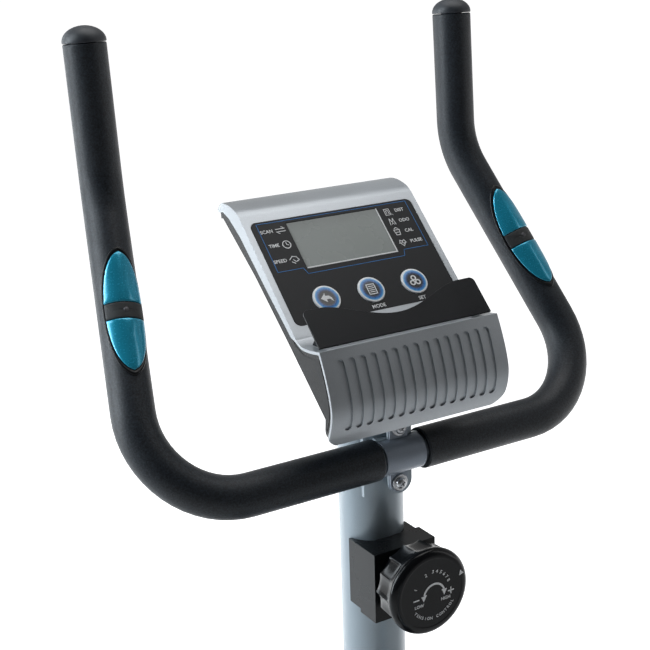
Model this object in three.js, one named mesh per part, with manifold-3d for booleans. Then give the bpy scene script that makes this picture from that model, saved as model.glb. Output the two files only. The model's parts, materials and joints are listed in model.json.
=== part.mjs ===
import * as THREE from 'three';
import { mergeVertices } from 'three/addons/utils/BufferGeometryUtils.js';
import Module from 'manifold-3d';

// Upright magnetic exercise bike, in millimetres.
// +Z is up, +Y is ahead of the rider and +X is to the rider's right.
// The origin is on the floor under the middle of the bike's length and width.

const wasm = await Module();
wasm.setup();

// Overall sizes
const bikeLength = 940;
const baseWidth = 500;
const barHeight = 865;        // handlebar centre tube above the floor
const barForward = 190;       // handlebar centre tube ahead of the origin
const gap = 0.3;              // left between pieces that touch
const runningGap = 0.5;       // left between pieces that slide or turn
const tubeSides = 20;         // facets round a tube
const postSides = 30;         // facets round the handlebar post and its clamp
const wheelSides = 26;        // facets round a large wheel

// Base
const stabiliserDiameter = 50;
const tubeWall = 2;
const capWall = 6;
const capLength = 60;
const footHeight = 7;         // cap's round underside above the floor
const footPadWidth = 40;
const wheelRadius = 22;
const wheelWidth = 16;
const wheelPinRadius = 4;
const footDiscRadius = 22;
const footDiscHeight = 6;
const footStudRadius = 4;
const footStudLength = 16;
const wheelInset = 29;        // wheel's middle from the end of its cap
const footInset = 28;         // levelling foot's middle from the end of its cap

// Frame
const beamWidth = 40;
const beamHeight = 60;
const beamClearance = 3;      // beam's underside above the stabiliser tubes
const drainRadius = 4;        // hole under the beam's rear end
const uprightHeight = 540;    // top of the tube that the handlebar post slips over
const seatTubeAngle = 26;     // leans back from upright, degrees
const seatTubeLength = 300;   // crank centre to the tube's top
const shellDiameter = 44;     // crank bearing shell
const shellWidth = 66;
const forkPlateThickness = 4;
const forkPlateHeight = 36;

// Drive
const crankY = -20;
const crankZ = 330;
const crankAngle = -30;       // right arm from straight ahead, degrees
const crankLength = 165;
const axleRadius = 8;
const axleOverhang = 4;       // axle end beyond the crank arm
const armThickness = 12;
const pulleyRadius = 104;
const pulleyWidth = 10;
const smallPulleyRadius = 13;
const beltThickness = 3;
const flywheelRadius = 95;
const flywheelWidth = 16;
const flywheelClearance = 8;  // rim ahead of the upright
const spindleRadius = 6;
const magnetGap = 3;
const magnetThickness = 4;
const magnetWidth = 32;
const magnetStart = 15;       // degrees up from straight ahead
const magnetEnd = 110;
const magnetPinRadius = 4;

// Pedals
const pedalLength = 95;
const pedalDepth = 90;
const pedalTop = 9;
const pedalBottom = 19;
const pedalGap = 8;
const pedalSpindleRadius = 6;
const strapWidth = 28;
const strapHeight = 52;
const strapThickness = 2.5;

// Shroud
const shroudHalfWidth = 58;
const shroudWall = 3;
const shroudClearance = 24;   // outside of the shroud beyond the pulley and the flywheel
const shroudEdge = 10;
const shroudLift = 5;         // shroud's lowest point above the beam
const axleHoleRadius = 20;

// Saddle and its post
const seatPostDiameter = 50;
const bushingWall = 2.2;      // guide between the seat post and its tube
const seatPostDrop = 385;     // seat post length
const seatPostTop = 455;      // crank centre to the top of the seat post
const seatPinHoles = 7;
const seatPinPitch = 25;
const seatPinRadius = 4;
const bushingLength = 80;
const saddleLength = 262;
const saddleWidth = 224;
const saddleNoseWidth = 76;
const saddleSetback = 176;    // saddle's rear behind the seat post's top
const saddleBaseHeight = 14;
const saddlePadHeight = 66;

// Handlebar post
const postDiameter = 61;
const postLean = 3.43;        // leans ahead, degrees
const postFoot = 427;         // post's lower end above the floor
const postRise = 80;          // post above the handlebar
const barSetback = 15.1;      // handlebar's centre line behind the post's surface
const collarHeight = 60;
const collarWall = 5;

// Handlebar
const barDiameter = 28;
const foamDiameter = 38;
const foamGap = 2;            // bend clearance inside the foam, all round
const lowHalfWidth = 244;     // lower bend's corner
const highHalfWidth = 193.5;  // upper bend's corner
const highReach = 184;
const highRise = 224;
const gripHalfWidth = 194.8;  // end of the foam
const gripReach = 202;
const gripRise = 355;
const lowBendRadius = 78;
const highBendRadius = 90;
const foamStart = 24;
const gripEndHeight = 15;
const domeFoot = 1.4;         // straight edge below the end's dome
const domeSteps = 5;

// Handlebar clamp
const clampHalfWidth = 21;
const clampWall = 2.5;
const clampEarRadius = 9.5;
const clampEarThickness = 2.6;
const clampEarShift = 3;      // cradle's ears wider than the strap's
const clampScrewClearance = 1.9; // between the washer and the clamp's ring
const clampScrewRadius = 3;
const washerRadius = 7.8;
const sleeveBottom = -45;
const sleeveTop = 30;
const sleeveWall = 3;

// Hand pulse sensors
const sensorAlong = 178;      // sensor's middle from the lower bend's corner
const sensorHalfLength = 59;
const sensorHalfWidth = 17.7;
const sensorRim = 1.8;
const sensorBand = 15;
const sensorOuter = 20.8;
const plateThickness = 1.2;

// Console, in its own frame: x across, y up the face, z out of the face
const faceTilt = 40.16;       // face from level, degrees
const faceReach = 46.1;       // button row ahead of the handlebar's centre
const faceRise = 142.5;       // button row above the handlebar's centre
const consoleHalfWidth = 92.5;
const sideInset = 2;          // rear housing narrower than the front, each side
const consoleWall = 2.5;
const frontDepth = 7.5;       // depth of the front moulding's rim
const topCornerRadius = 7;
const panelCornerRadius = 16;
const panelBottomRise = 39;   // ribbed panel's lower edge above the handlebar's centre
const stickerHalfWidth = 86;
const stickerBottom = -21;
const stickerTop = 88;
const stickerThickness = 1.2;
const lensLeft = -50.5;
const lensRight = 46;
const lensBottom = 33.5;
const lensTop = 83;
const lensThickness = 3;
const buttonPitch = 46.5;
const buttonRadius = 13.2;
const buttonDepth = 7;
const buttonProud = 1.2;
const boardDepth = 8;
const boardThickness = 1.6;
const bossWall = 4;
const bossLength = 70;
const flapHalfWidth = 89.5;
const flapHeight = 38;
const flapDip = 18.5;
const flapThickness = 2;
const flapFoot = -57.5;
const flapStandoff = 23;      // flap's middle out from the face

// Tension control
const mountCheek = 3;         // block's side beyond the post's
const mountReach = 25.1;      // block's face beyond the post's surface, towards the rider
const mountBack = 9.4;        // horns' ends short of the post's centre line
const mountTop = -87.7;
const mountBottom = -156.5;
const mountStep = 30;         // rear layer ends here, ahead of the post's centre line
const mountInset = 1.8;       // rear layer inside the front one
const knobCentre = -117;
const knobRadius = 41.4;
const knobDepth = 34;
const knobStandoff = 7.4;     // knob's back beyond the block's face
const knobRimDepth = 7;
const knobRimEase = 3;
const knobEdgeStep = 1.2;     // ridges inside the rim's radius
const knobFlutes = 12;
const fluteDepth = 2;
const knobHubRadius = 12;
const cableRadius = 2.5;

// Derived places
const capRadius = stabiliserDiameter / 2 + capWall;
const stabiliserY = bikeLength / 2 - capRadius;
const stabiliserZ = capRadius + footHeight;
const capInner = baseWidth / 2 - capLength;
const stabiliserHalf = capInner + 15;
const beamBottom = stabiliserZ + stabiliserDiameter / 2 + beamClearance;
const beamTop = beamBottom + beamHeight;
const armInner = shroudHalfWidth + 8;
const armOuter = armInner + armThickness;
const pulleyInner = shellWidth / 2 + 4;
const postRadius = postDiameter / 2;
const seatTubeDiameter = seatPostDiameter + 2 * (runningGap + bushingWall + gap + tubeWall);
const foamBore = barDiameter + 2 * foamGap;
const shroudRearRadius = pulleyRadius + shroudClearance;
const shroudFrontRadius = flywheelRadius + shroudClearance;
const barStandoff = postRadius + barSetback;
const clampBore = barDiameter / 2 + gap;
const clampOuter = clampBore + clampWall;
const clampScrewDrop = clampOuter + washerRadius + clampScrewClearance;
const sleeveOuter = postRadius + sleeveWall;
const mountHalfWidth = postRadius + mountCheek;
const mountFront = postRadius + mountReach;
const knobFace = mountFront + knobStandoff + knobDepth;
const uprightRadius = postRadius - tubeWall - gap;

const lean = THREE.MathUtils.degToRad(postLean);
const seatLean = THREE.MathUtils.degToRad(seatTubeAngle);
const tilt = THREE.MathUtils.degToRad(faceTilt);
const barCentre = vec(0, barForward, barHeight);
const postOrigin = barCentre.clone().add(
  vec(0, barStandoff * Math.cos(lean), -barStandoff * Math.sin(lean)));
const postDrop = (postOrigin.z - postFoot) / Math.cos(lean);
const wheelX = baseWidth / 2 - wheelInset;
const footX = baseWidth / 2 - footInset;
const wheelY = bikeLength / 2 - wheelRadius - 1;
const wheelZ = wheelRadius + 5;
const magnetPlateInner = magnetWidth / 2 + 2;
const forkInner = flywheelWidth / 2 + 12;
const pedalInner = armOuter + pedalGap;
const flywheelZ = beamTop + shroudLift + shroudFrontRadius;
const flywheelY = postAtHeight(flywheelZ).y + uprightRadius + flywheelRadius + flywheelClearance;
const magnetAngle = THREE.MathUtils.degToRad(magnetEnd);
const magnetMiddle = flywheelRadius + magnetGap + magnetThickness / 2;
const magnetPivot = vec(0, flywheelY + magnetMiddle * Math.cos(magnetAngle), flywheelZ + magnetMiddle * Math.sin(magnetAngle));

const finishes = {
  silverPaint: { color: 0x8e9aa3, roughness: 0.38, metalness: 0.55 },
  silverPlastic: { color: 0xa9b0b6, roughness: 0.35, metalness: 0.4 },
  blackPlastic: { color: 0x1d2023, roughness: 0.45, metalness: 0.0 },
  glossBlack: { color: 0x101214, roughness: 0.15, metalness: 0.0 },
  foam: { color: 0x23272b, roughness: 0.62, metalness: 0.0 },
  teal: { color: 0x1a7f9c, roughness: 0.2, metalness: 0.5 },
  lens: { color: 0x8c9590, roughness: 0.1, metalness: 0.0 },
  button: { color: 0x2f74b5, roughness: 0.3, metalness: 0.0 },
  zinc: { color: 0xc0c4c8, roughness: 0.3, metalness: 0.9 },
  castIron: { color: 0x3b3d40, roughness: 0.6, metalness: 0.7 },
  rubber: { color: 0x161719, roughness: 0.75, metalness: 0.0 },
  vinyl: { color: 0x1b1c1f, roughness: 0.55, metalness: 0.0 },
  circuit: { color: 0x1f5c38, roughness: 0.5, metalness: 0.0 },
};

// Small tools

function vec(x, y, z) {
  return new THREE.Vector3(x, y, z);
}

function toSolid(geometry) {
  const bare = geometry.clone();
  bare.deleteAttribute('normal');
  bare.deleteAttribute('uv');
  const merged = mergeVertices(bare, 1e-4);
  const mesh = new wasm.Mesh({
    numProp: 3,
    vertProperties: Float32Array.from(merged.attributes.position.array),
    triVerts: Uint32Array.from(merged.index.array),
  });
  return new wasm.Manifold(mesh);
}

function toGeometry(solid) {
  const mesh = solid.getMesh();
  const geometry = new THREE.BufferGeometry();
  geometry.setAttribute('position', new THREE.BufferAttribute(mesh.vertProperties, 3));
  geometry.setIndex(new THREE.BufferAttribute(mesh.triVerts, 1));
  geometry.computeVertexNormals();
  return geometry;
}

function join(first, ...others) {
  return toGeometry(others.reduce((solid, other) => solid.add(toSolid(other)), toSolid(first)));
}

function cut(first, ...others) {
  return toGeometry(others.reduce((solid, other) => solid.subtract(toSolid(other)), toSolid(first)));
}

function common(first, ...others) {
  return toGeometry(others.reduce((solid, other) => solid.intersect(toSolid(other)), toSolid(first)));
}

function box(low, high) {
  const size = vec(...high).sub(vec(...low));
  const middle = vec(...high).add(vec(...low)).multiplyScalar(0.5);
  return new THREE.BoxGeometry(size.x, size.y, size.z).translate(middle.x, middle.y, middle.z);
}

// Turns a shape about an axis from start towards end; profile is [radius, distance] pairs.
function turned(profile, start, end, sides = 16) {
  const points = profile.map(([radius, along]) => new THREE.Vector2(radius, along));
  const geometry = new THREE.LatheGeometry(points, sides);
  const direction = end.clone().sub(start).normalize();
  const turn = new THREE.Quaternion().setFromUnitVectors(vec(0, 1, 0), direction);
  return geometry.applyQuaternion(turn).translate(start.x, start.y, start.z);
}

function rod(start, end, radius, sides = 16) {
  const length = start.distanceTo(end);
  return turned([[0, 0], [radius, 0], [radius, length], [0, length]], start, end, sides);
}

function pipe(start, end, outer, inner, sides = tubeSides) {
  const length = start.distanceTo(end);
  const ring = [[inner, 0], [outer, 0], [outer, length], [inner, length], [inner, 0]];
  return turned(ring, start, end, sides);
}

function extrude(shape, depth, options = {}) {
  return new THREE.ExtrudeGeometry(shape, { depth, bevelEnabled: false, curveSegments: 4, ...options });
}

// Extrudes an outline drawn in (y, z) from x = low to x = high.
function acrossX(shape, low, high, options = {}) {
  const basis = new THREE.Matrix4().makeBasis(vec(0, 1, 0), vec(0, 0, 1), vec(1, 0, 0));
  return extrude(shape, high - low, options).applyMatrix4(basis).translate(low, 0, 0);
}

// Extrudes an outline drawn in (x, z) from y = low to y = high.
function acrossY(shape, low, high, options = {}) {
  const basis = new THREE.Matrix4().makeBasis(vec(1, 0, 0), vec(0, 0, 1), vec(0, -1, 0));
  return extrude(shape, high - low, options).applyMatrix4(basis).translate(0, high, 0);
}

function polygon(points) {
  return new THREE.Shape(points.map(([x, y]) => new THREE.Vector2(x, y)));
}

function roundedRectangle(left, right, bottom, top, radius) {
  const shape = new THREE.Shape();
  shape.moveTo(left + radius, bottom);
  shape.lineTo(right - radius, bottom);
  shape.absarc(right - radius, bottom + radius, radius, -Math.PI / 2, 0);
  shape.absarc(right - radius, top - radius, radius, 0, Math.PI / 2);
  shape.absarc(left + radius, top - radius, radius, Math.PI / 2, Math.PI);
  shape.absarc(left + radius, bottom + radius, radius, Math.PI, Math.PI * 1.5);
  return shape;
}

// The outline of two circles and the straight lines that touch both.
function beltOutline(yA, zA, radiusA, yB, zB, radiusB, segmentsA = 18, segmentsB = 18) {
  const distance = Math.hypot(yB - yA, zB - zA);
  const heading = Math.atan2(zB - zA, yB - yA);
  const spread = Math.acos((radiusA - radiusB) / distance);
  const points = [];
  for (let i = 0; i <= segmentsA; i += 1) {
    const angle = heading + spread + ((2 * Math.PI - 2 * spread) * i) / segmentsA;
    points.push([yA + radiusA * Math.cos(angle), zA + radiusA * Math.sin(angle)]);
  }
  for (let i = 0; i <= segmentsB; i += 1) {
    const angle = heading - spread + (2 * spread * i) / segmentsB;
    points.push([yB + radiusB * Math.cos(angle), zB + radiusB * Math.sin(angle)]);
  }
  return points;
}

// Moves every edge of a closed outline inwards (anticlockwise outline, positive distance).
function inset(points, distance) {
  return points.map((point, i) => {
    const before = points[(i + points.length - 1) % points.length];
    const after = points[(i + 1) % points.length];
    const into = unit(point[0] - before[0], point[1] - before[1]);
    const away = unit(after[0] - point[0], after[1] - point[1]);
    const normal = unit(-into[1] - away[1], into[0] + away[0]);
    const spread = normal[0] * -into[1] + normal[1] * into[0];
    return [point[0] + (normal[0] * distance) / spread, point[1] + (normal[1] * distance) / spread];
  });
}

function unit(x, y) {
  const length = Math.hypot(x, y);
  return [x / length, y / length];
}

function mirrored(geometry, isMirrored) {
  if (!isMirrored) return geometry;
  const flipped = geometry.clone().applyMatrix4(new THREE.Matrix4().makeScale(-1, 1, 1));
  const source = flipped.index ? flipped : mergeVertices(flipped);
  const order = source.index.array;
  for (let i = 0; i < order.length; i += 3) {
    [order[i], order[i + 1]] = [order[i + 1], order[i]];
  }
  source.computeVertexNormals();
  return source;
}

function mesh(name, geometry, finish) {
  const part = new THREE.Mesh(geometry, new THREE.MeshStandardMaterial(finishes[finish]));
  part.name = name;
  return part;
}

const sides = [['right', false], ['left', true]];

// Base: stabilisers, caps, wheels and levelling feet

function buildStabiliser(name, y) {
  const radius = stabiliserDiameter / 2;
  const start = vec(-stabiliserHalf, y, stabiliserZ);
  const end = vec(stabiliserHalf, y, stabiliserZ);
  return mesh(name, pipe(start, end, radius, radius - tubeWall), 'silverPaint');
}

function capBody(y) {
  const inner = vec(capInner, y, stabiliserZ);
  const outer = vec(baseWidth / 2, y, stabiliserZ);
  const edge = 5;
  const length = capLength;
  const profile = [[0, 0], [capRadius, 0], [capRadius, length - edge], [capRadius - edge, length], [0, length]];
  const bore = rod(inner.clone().setX(capInner - 1), inner.clone().setX(stabiliserHalf + gap),
    stabiliserDiameter / 2 + gap, tubeSides);
  return cut(turned(profile, inner, outer, tubeSides), bore);
}

function frontCap(isMirrored) {
  const slotHalf = wheelWidth / 2 + 2;
  const padHalf = footPadWidth / 2;
  const pad = box([stabiliserHalf + 1, stabiliserY - padHalf, 0],
    [wheelX + slotHalf + 8, stabiliserY + padHalf / 2, stabiliserZ - 15]);
  const centre = vec(wheelX - slotHalf, wheelY, wheelZ);
  const slot = rod(centre, centre.clone().setX(wheelX + slotHalf), wheelRadius + 3, tubeSides);
  const mouth = box([wheelX - slotHalf, wheelY, -1], [wheelX + slotHalf, wheelY + 60, wheelZ + wheelRadius + 3]);
  const low = box([wheelX - slotHalf, wheelY - wheelRadius - 3, -1], [wheelX + slotHalf, wheelY + 1, wheelZ]);
  const pin = rod(vec(wheelX - slotHalf - 2, wheelY, wheelZ), vec(wheelX + slotHalf + 2, wheelY, wheelZ),
    wheelPinRadius, 12);
  const body = cut(join(capBody(stabiliserY), pad), slot, mouth, low);
  return mirrored(join(body, pin), isMirrored);
}

function transportWheel(isMirrored) {
  const bore = wheelPinRadius + runningGap;
  const half = wheelWidth / 2;
  const tread = 2.5;
  const profile = [
    [bore, 0], [wheelRadius - tread, 0], [wheelRadius, tread], [wheelRadius, wheelWidth - tread],
    [wheelRadius - tread, wheelWidth], [bore, wheelWidth], [bore, 0],
  ];
  const wheel = turned(profile, vec(wheelX - half, wheelY, wheelZ), vec(wheelX + half, wheelY, wheelZ), tubeSides);
  return mirrored(wheel, isMirrored);
}

function rearCap(isMirrored) {
  const under = footDiscHeight + runningGap;
  const trim = box([capInner - 1, -stabiliserY - capRadius, -1], [baseWidth / 2 + 1, -stabiliserY + capRadius, under + 2]);
  const bore = rod(vec(footX, -stabiliserY, under - 2),
    vec(footX, -stabiliserY, footDiscHeight + footStudLength + runningGap), footStudRadius + runningGap, 12);
  return mirrored(cut(capBody(-stabiliserY), trim, bore), isMirrored);
}

function levellingFoot(isMirrored) {
  const top = footDiscHeight + footStudLength;
  const profile = [
    [0, 0], [footDiscRadius, 0], [footDiscRadius, footDiscHeight - 2], [footDiscRadius - 2, footDiscHeight],
    [footStudRadius, footDiscHeight], [footStudRadius, top], [0, top],
  ];
  return mirrored(turned(profile, vec(footX, -stabiliserY, 0), vec(footX, -stabiliserY, top), tubeSides), isMirrored);
}

// Frame

function seatLine(along) {
  return vec(0, crankY - along * Math.sin(seatLean), crankZ + along * Math.cos(seatLean));
}

function postPoint(x, y, z) {
  return postOrigin.clone().add(vec(
    x,
    y * Math.cos(lean) + z * Math.sin(lean),
    z * Math.cos(lean) - y * Math.sin(lean)));
}

function postAtHeight(height) {
  return postPoint(0, 0, (height - postOrigin.z) / Math.cos(lean));
}

function buildFrame() {
  const seatRadius = seatTubeDiameter / 2;
  const beamOuter = box([-beamWidth / 2, -stabiliserY, beamBottom], [beamWidth / 2, stabiliserY, beamTop]);
  const beamEnd = stabiliserY - tubeWall;
  const beamHollow = box([-beamWidth / 2 + tubeWall, -beamEnd, beamBottom + tubeWall],
    [beamWidth / 2 - tubeWall, beamEnd, beamTop - tubeWall]);
  const drainAt = stabiliserY - stabiliserDiameter;
  const drain = rod(vec(0, -drainAt, beamBottom - 1), vec(0, -drainAt, beamBottom + 2 * tubeWall), drainRadius, 12);
  const seatFoot = seatLine((beamTop - 10 - crankZ) / Math.cos(seatLean));
  const seatHollowFoot = seatLine((beamTop + 12 - crankZ) / Math.cos(seatLean));
  const seatTube = rod(seatFoot, seatLine(seatTubeLength), seatRadius, tubeSides);
  const seatHollow = rod(seatHollowFoot, seatLine(seatTubeLength + 5), seatRadius - tubeWall, tubeSides);
  const upright = rod(postAtHeight(beamTop - 10), postAtHeight(uprightHeight), uprightRadius, tubeSides);
  const uprightHollow = rod(postAtHeight(beamTop + 6), postAtHeight(uprightHeight + 5), uprightRadius - tubeWall, tubeSides);
  const trimUnder = box([-60, -200, beamBottom], [60, 300, beamTop - 1]);
  const saddles = [stabiliserY, -stabiliserY].map((y) => {
    const radius = stabiliserDiameter / 2;
    const shell = pipe(vec(-35, y, stabiliserZ), vec(35, y, stabiliserZ), radius + 6, radius + gap);
    const keep = box([-36, y - 24, stabiliserZ + 8], [36, y + 24, stabiliserZ + 40]);
    return common(shell, keep);
  });
  const ends = [stabiliserY, -stabiliserY].map((y) => {
    return rod(vec(-36, y, stabiliserZ), vec(36, y, stabiliserZ), stabiliserDiameter / 2 + gap, tubeSides);
  });
  const forkPlates = [1, -1].map((side) => {
    const low = Math.min(side * forkInner, side * (forkInner + forkPlateThickness));
    const high = Math.max(side * forkInner, side * (forkInner + forkPlateThickness));
    const back = postAtHeight(flywheelZ).y;
    return box([low, back, flywheelZ - forkPlateHeight / 2], [high, flywheelY + 20, flywheelZ + forkPlateHeight / 2]);
  });
  const pivotPlate = box([-magnetPlateInner - 4, postAtHeight(magnetPivot.z).y + uprightRadius - 12, magnetPivot.z - 8],
    [-magnetPlateInner, magnetPivot.y + 8, magnetPivot.z + 8]);
  const shell = pipe(vec(-shellWidth / 2, crankY, crankZ), vec(shellWidth / 2, crankY, crankZ),
    shellDiameter / 2, axleRadius + runningGap);
  const shellBore = rod(vec(-80, crankY, crankZ), vec(80, crankY, crankZ), axleRadius + runningGap, tubeSides);
  const axleBore = rod(vec(-60, flywheelY, flywheelZ), vec(60, flywheelY, flywheelZ), spindleRadius + runningGap);
  const pinBore = rod(vec(-60, magnetPivot.y, magnetPivot.z), vec(0, magnetPivot.y, magnetPivot.z),
    magnetPinRadius + runningGap, 12);
  const cableHole = rod(postAtHeight(372), vec(0, 260, 372), 8, 12);
  const pinHole = rod(seatLine(seatTubeLength - 40), seatPinPoint(seatTubeLength - 40, 60), seatPinRadius + runningGap, 12);
  const tubes = join(beamOuter, cut(seatTube, trimUnder), cut(upright, trimUnder), pivotPlate, ...forkPlates, ...saddles);
  const hollowed = cut(tubes, beamHollow, drain, seatHollow, uprightHollow, cableHole, pinHole, axleBore, pinBore, ...ends);
  return mesh('main_frame', cut(join(hollowed, shell), shellBore), 'silverPaint');
}

// A point behind the seat tube's axis: along from the crank, back from the axis.
function seatPinPoint(along, back) {
  return seatLine(along).add(vec(0, -back * Math.cos(seatLean), -back * Math.sin(seatLean)));
}

// Drive

function crankMatrix(isMirrored) {
  const angle = THREE.MathUtils.degToRad(crankAngle + (isMirrored ? 180 : 0));
  return new THREE.Matrix4().makeTranslation(0, crankY, crankZ)
    .multiply(new THREE.Matrix4().makeRotationX(angle));
}

function crankArm(isMirrored) {
  const outline = beltOutline(0, 0, 17, crankLength, 0, 13, 12, 12);
  const arm = acrossX(polygon(outline), armInner, armOuter);
  const axleBore = rod(vec(armInner - 1, 0, 0), vec(armOuter + 1, 0, 0), axleRadius + gap);
  const spindleBore = rod(vec(armInner - 1, crankLength, 0), vec(armOuter + 1, crankLength, 0), pedalSpindleRadius + gap);
  return mirrored(cut(arm, axleBore, spindleBore), isMirrored).applyMatrix4(crankMatrix(isMirrored));
}

function pedalCentre(isMirrored) {
  return vec(0, crankLength, 0).applyMatrix4(crankMatrix(isMirrored));
}

function pedalSpindle(isMirrored) {
  const collar = pedalGap - 2;
  const start = armInner + 1;
  const flange = armOuter + gap - start;
  const end = pedalInner + pedalLength + 2 - start;
  const radius = pedalSpindleRadius;
  const profile = [[0, 0], [radius, 0], [radius, flange], [radius + 3, flange], [radius + 3, flange + collar],
    [radius, flange + collar], [radius, end], [0, end]];
  const centre = pedalCentre(isMirrored);
  const spindle = turned(profile, vec(start, 0, 0), vec(start + 1, 0, 0), 16);
  return mirrored(spindle, isMirrored).translate(0, centre.y, centre.z);
}

function pedalBody(isMirrored) {
  const half = pedalDepth / 2;
  const outline = roundedRectangle(-half, half, -pedalBottom, pedalTop, 8);
  const block = acrossX(outline, pedalInner, pedalInner + pedalLength, { curveSegments: 4 });
  const windows = [1, -1].map((side) => {
    const near = side > 0 ? 12 : -half + 9;
    const far = side > 0 ? half - 9 : -12;
    return box([pedalInner + 10, near, -pedalBottom - 1], [pedalInner + pedalLength - 10, far, pedalTop + 1]);
  });
  const bore = rod(vec(pedalInner - 1, 0, 0), vec(pedalInner + pedalLength + 1, 0, 0), pedalSpindleRadius + runningGap);
  const centre = pedalCentre(isMirrored);
  return mirrored(cut(block, ...windows, bore), isMirrored).translate(0, centre.y, centre.z);
}

function pedalStrap(isMirrored) {
  const inner = pedalDepth / 2 + gap;
  const outer = inner + strapThickness;
  const shape = new THREE.Shape();
  const foot = -8;
  shape.moveTo(outer, foot);
  shape.lineTo(outer, pedalTop);
  shape.absellipse(0, pedalTop, outer, strapHeight, 0, Math.PI);
  shape.lineTo(-outer, foot);
  shape.lineTo(-inner, foot);
  shape.lineTo(-inner, pedalTop);
  shape.absellipse(0, pedalTop, inner, strapHeight - strapThickness, Math.PI, 0, true);
  shape.lineTo(inner, foot);
  const middle = pedalInner + pedalLength * 0.5;
  const band = acrossX(shape, middle - strapWidth / 2, middle + strapWidth / 2, { curveSegments: 9 });
  const centre = pedalCentre(isMirrored);
  return mirrored(band, isMirrored).translate(0, centre.y, centre.z);
}

function buildPulley() {
  const hub = 22;
  const web = 3;
  const rim = pulleyRadius - 10;
  const bore = axleRadius + gap;
  const middle = pulleyWidth / 2;
  const profile = [
    [bore, 0], [hub, 0], [hub, middle - web / 2], [rim, middle - web / 2], [rim, 0], [pulleyRadius, 0],
    [pulleyRadius, pulleyWidth], [rim, pulleyWidth], [rim, middle + web / 2], [hub, middle + web / 2],
    [hub, pulleyWidth], [bore, pulleyWidth], [bore, 0],
  ];
  const start = vec(pulleyInner, crankY, crankZ);
  return mesh('drive_pulley', turned(profile, start, vec(pulleyInner + 1, crankY, crankZ), wheelSides), 'blackPlastic');
}

function buildFlywheel() {
  const bore = spindleRadius + gap;
  const hub = 20;
  const rim = flywheelRadius - 22;
  const web = 6;
  const middle = flywheelWidth / 2;
  const profile = [
    [bore, 0], [hub, 0], [hub, middle - web / 2], [rim, middle - web / 2], [rim, 0], [flywheelRadius, 0],
    [flywheelRadius, flywheelWidth], [rim, flywheelWidth], [rim, middle + web / 2], [hub, middle + web / 2],
    [hub, flywheelWidth], [bore, flywheelWidth], [bore, 0],
  ];
  const start = vec(-middle, flywheelY, flywheelZ);
  return mesh('flywheel', turned(profile, start, vec(middle, flywheelY, flywheelZ), wheelSides), 'castIron');
}

function buildFlywheelAxle() {
  const start = forkInner + forkPlateThickness + 4;
  const end = pulleyInner + pulleyWidth + 3;
  const shoulder = start + pulleyInner - 1;
  const length = start + end - 1;
  const profile = [[0, 0], [spindleRadius, 0], [spindleRadius, shoulder],
    [smallPulleyRadius, shoulder], [smallPulleyRadius, length], [0, length]];
  return mesh('flywheel_axle', turned(profile, vec(-start, flywheelY, flywheelZ), vec(0, flywheelY, flywheelZ), 20), 'zinc');
}

function buildBelt() {
  const inner = beltOutline(crankY, crankZ, pulleyRadius + 1, flywheelY, flywheelZ, smallPulleyRadius + 1, 18, 6);
  const outer = beltOutline(crankY, crankZ, pulleyRadius + 1 + beltThickness,
    flywheelY, flywheelZ, smallPulleyRadius + 1 + beltThickness, 18, 6);
  const shape = polygon(outer);
  shape.holes.push(polygon(inner.reverse()));
  return mesh('drive_belt', acrossX(shape, pulleyInner + 1, pulleyInner + pulleyWidth - 1), 'rubber');
}

function buildMagnetBracket() {
  const from = THREE.MathUtils.degToRad(magnetStart);
  const to = THREE.MathUtils.degToRad(magnetEnd);
  const inner = flywheelRadius + magnetGap;
  const outer = inner + magnetThickness;
  const shape = new THREE.Shape();
  shape.absarc(flywheelY, flywheelZ, outer, from, to);
  shape.absarc(flywheelY, flywheelZ, inner, to, from, true);
  const band = acrossX(shape, -magnetWidth / 2, magnetWidth / 2, { curveSegments: 8 });
  const pin = rod(vec(-magnetPlateInner - 6, magnetPivot.y, magnetPivot.z),
    vec(magnetWidth / 2, magnetPivot.y, magnetPivot.z), magnetPinRadius, 12);
  return mesh('magnet_bracket', join(band, pin), 'zinc');
}

// Shroud

function shroudSolid(insetBy, halfWidth, edge) {
  const outline = beltOutline(crankY, crankZ, shroudRearRadius - insetBy - edge,
    flywheelY, flywheelZ, shroudFrontRadius - insetBy - edge);
  return acrossX(polygon(outline), -halfWidth + edge, halfWidth - edge,
    { bevelEnabled: true, bevelSize: edge, bevelThickness: edge, bevelSegments: 1 });
}

function shroudHalf(isMirrored) {
  const outer = shroudSolid(0, shroudHalfWidth, shroudEdge);
  const inner = shroudSolid(shroudWall, shroudHalfWidth - shroudWall, shroudEdge - 1);
  const keep = box([gap / 2, -bikeLength, 0], [baseWidth, bikeLength, barHeight]);
  const axleHole = rod(vec(-100, crankY, crankZ), vec(100, crankY, crankZ), axleHoleRadius);
  const seatHole = rod(seatLine(-260), seatLine(260), seatTubeDiameter / 2 + 1.5, tubeSides);
  const uprightHole = rod(postAtHeight(60), postAtHeight(flywheelZ), uprightRadius + 1.5, tubeSides);
  const collarHole = rod(postAtHeight(flywheelZ), postAtHeight(500), postRadius + collarWall + 1, postSides);
  const half = cut(common(outer, keep), inner, axleHole, seatHole, uprightHole, collarHole);
  return mirrored(half, isMirrored);
}

function buildCollar() {
  const start = postPoint(0, 0, -postDrop - collarHeight / 2);
  const end = postPoint(0, 0, -postDrop + collarHeight / 2);
  return mesh('post_collar', pipe(start, end, postRadius + collarWall, postRadius + gap, postSides), 'blackPlastic');
}

// Saddle and its post

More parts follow.
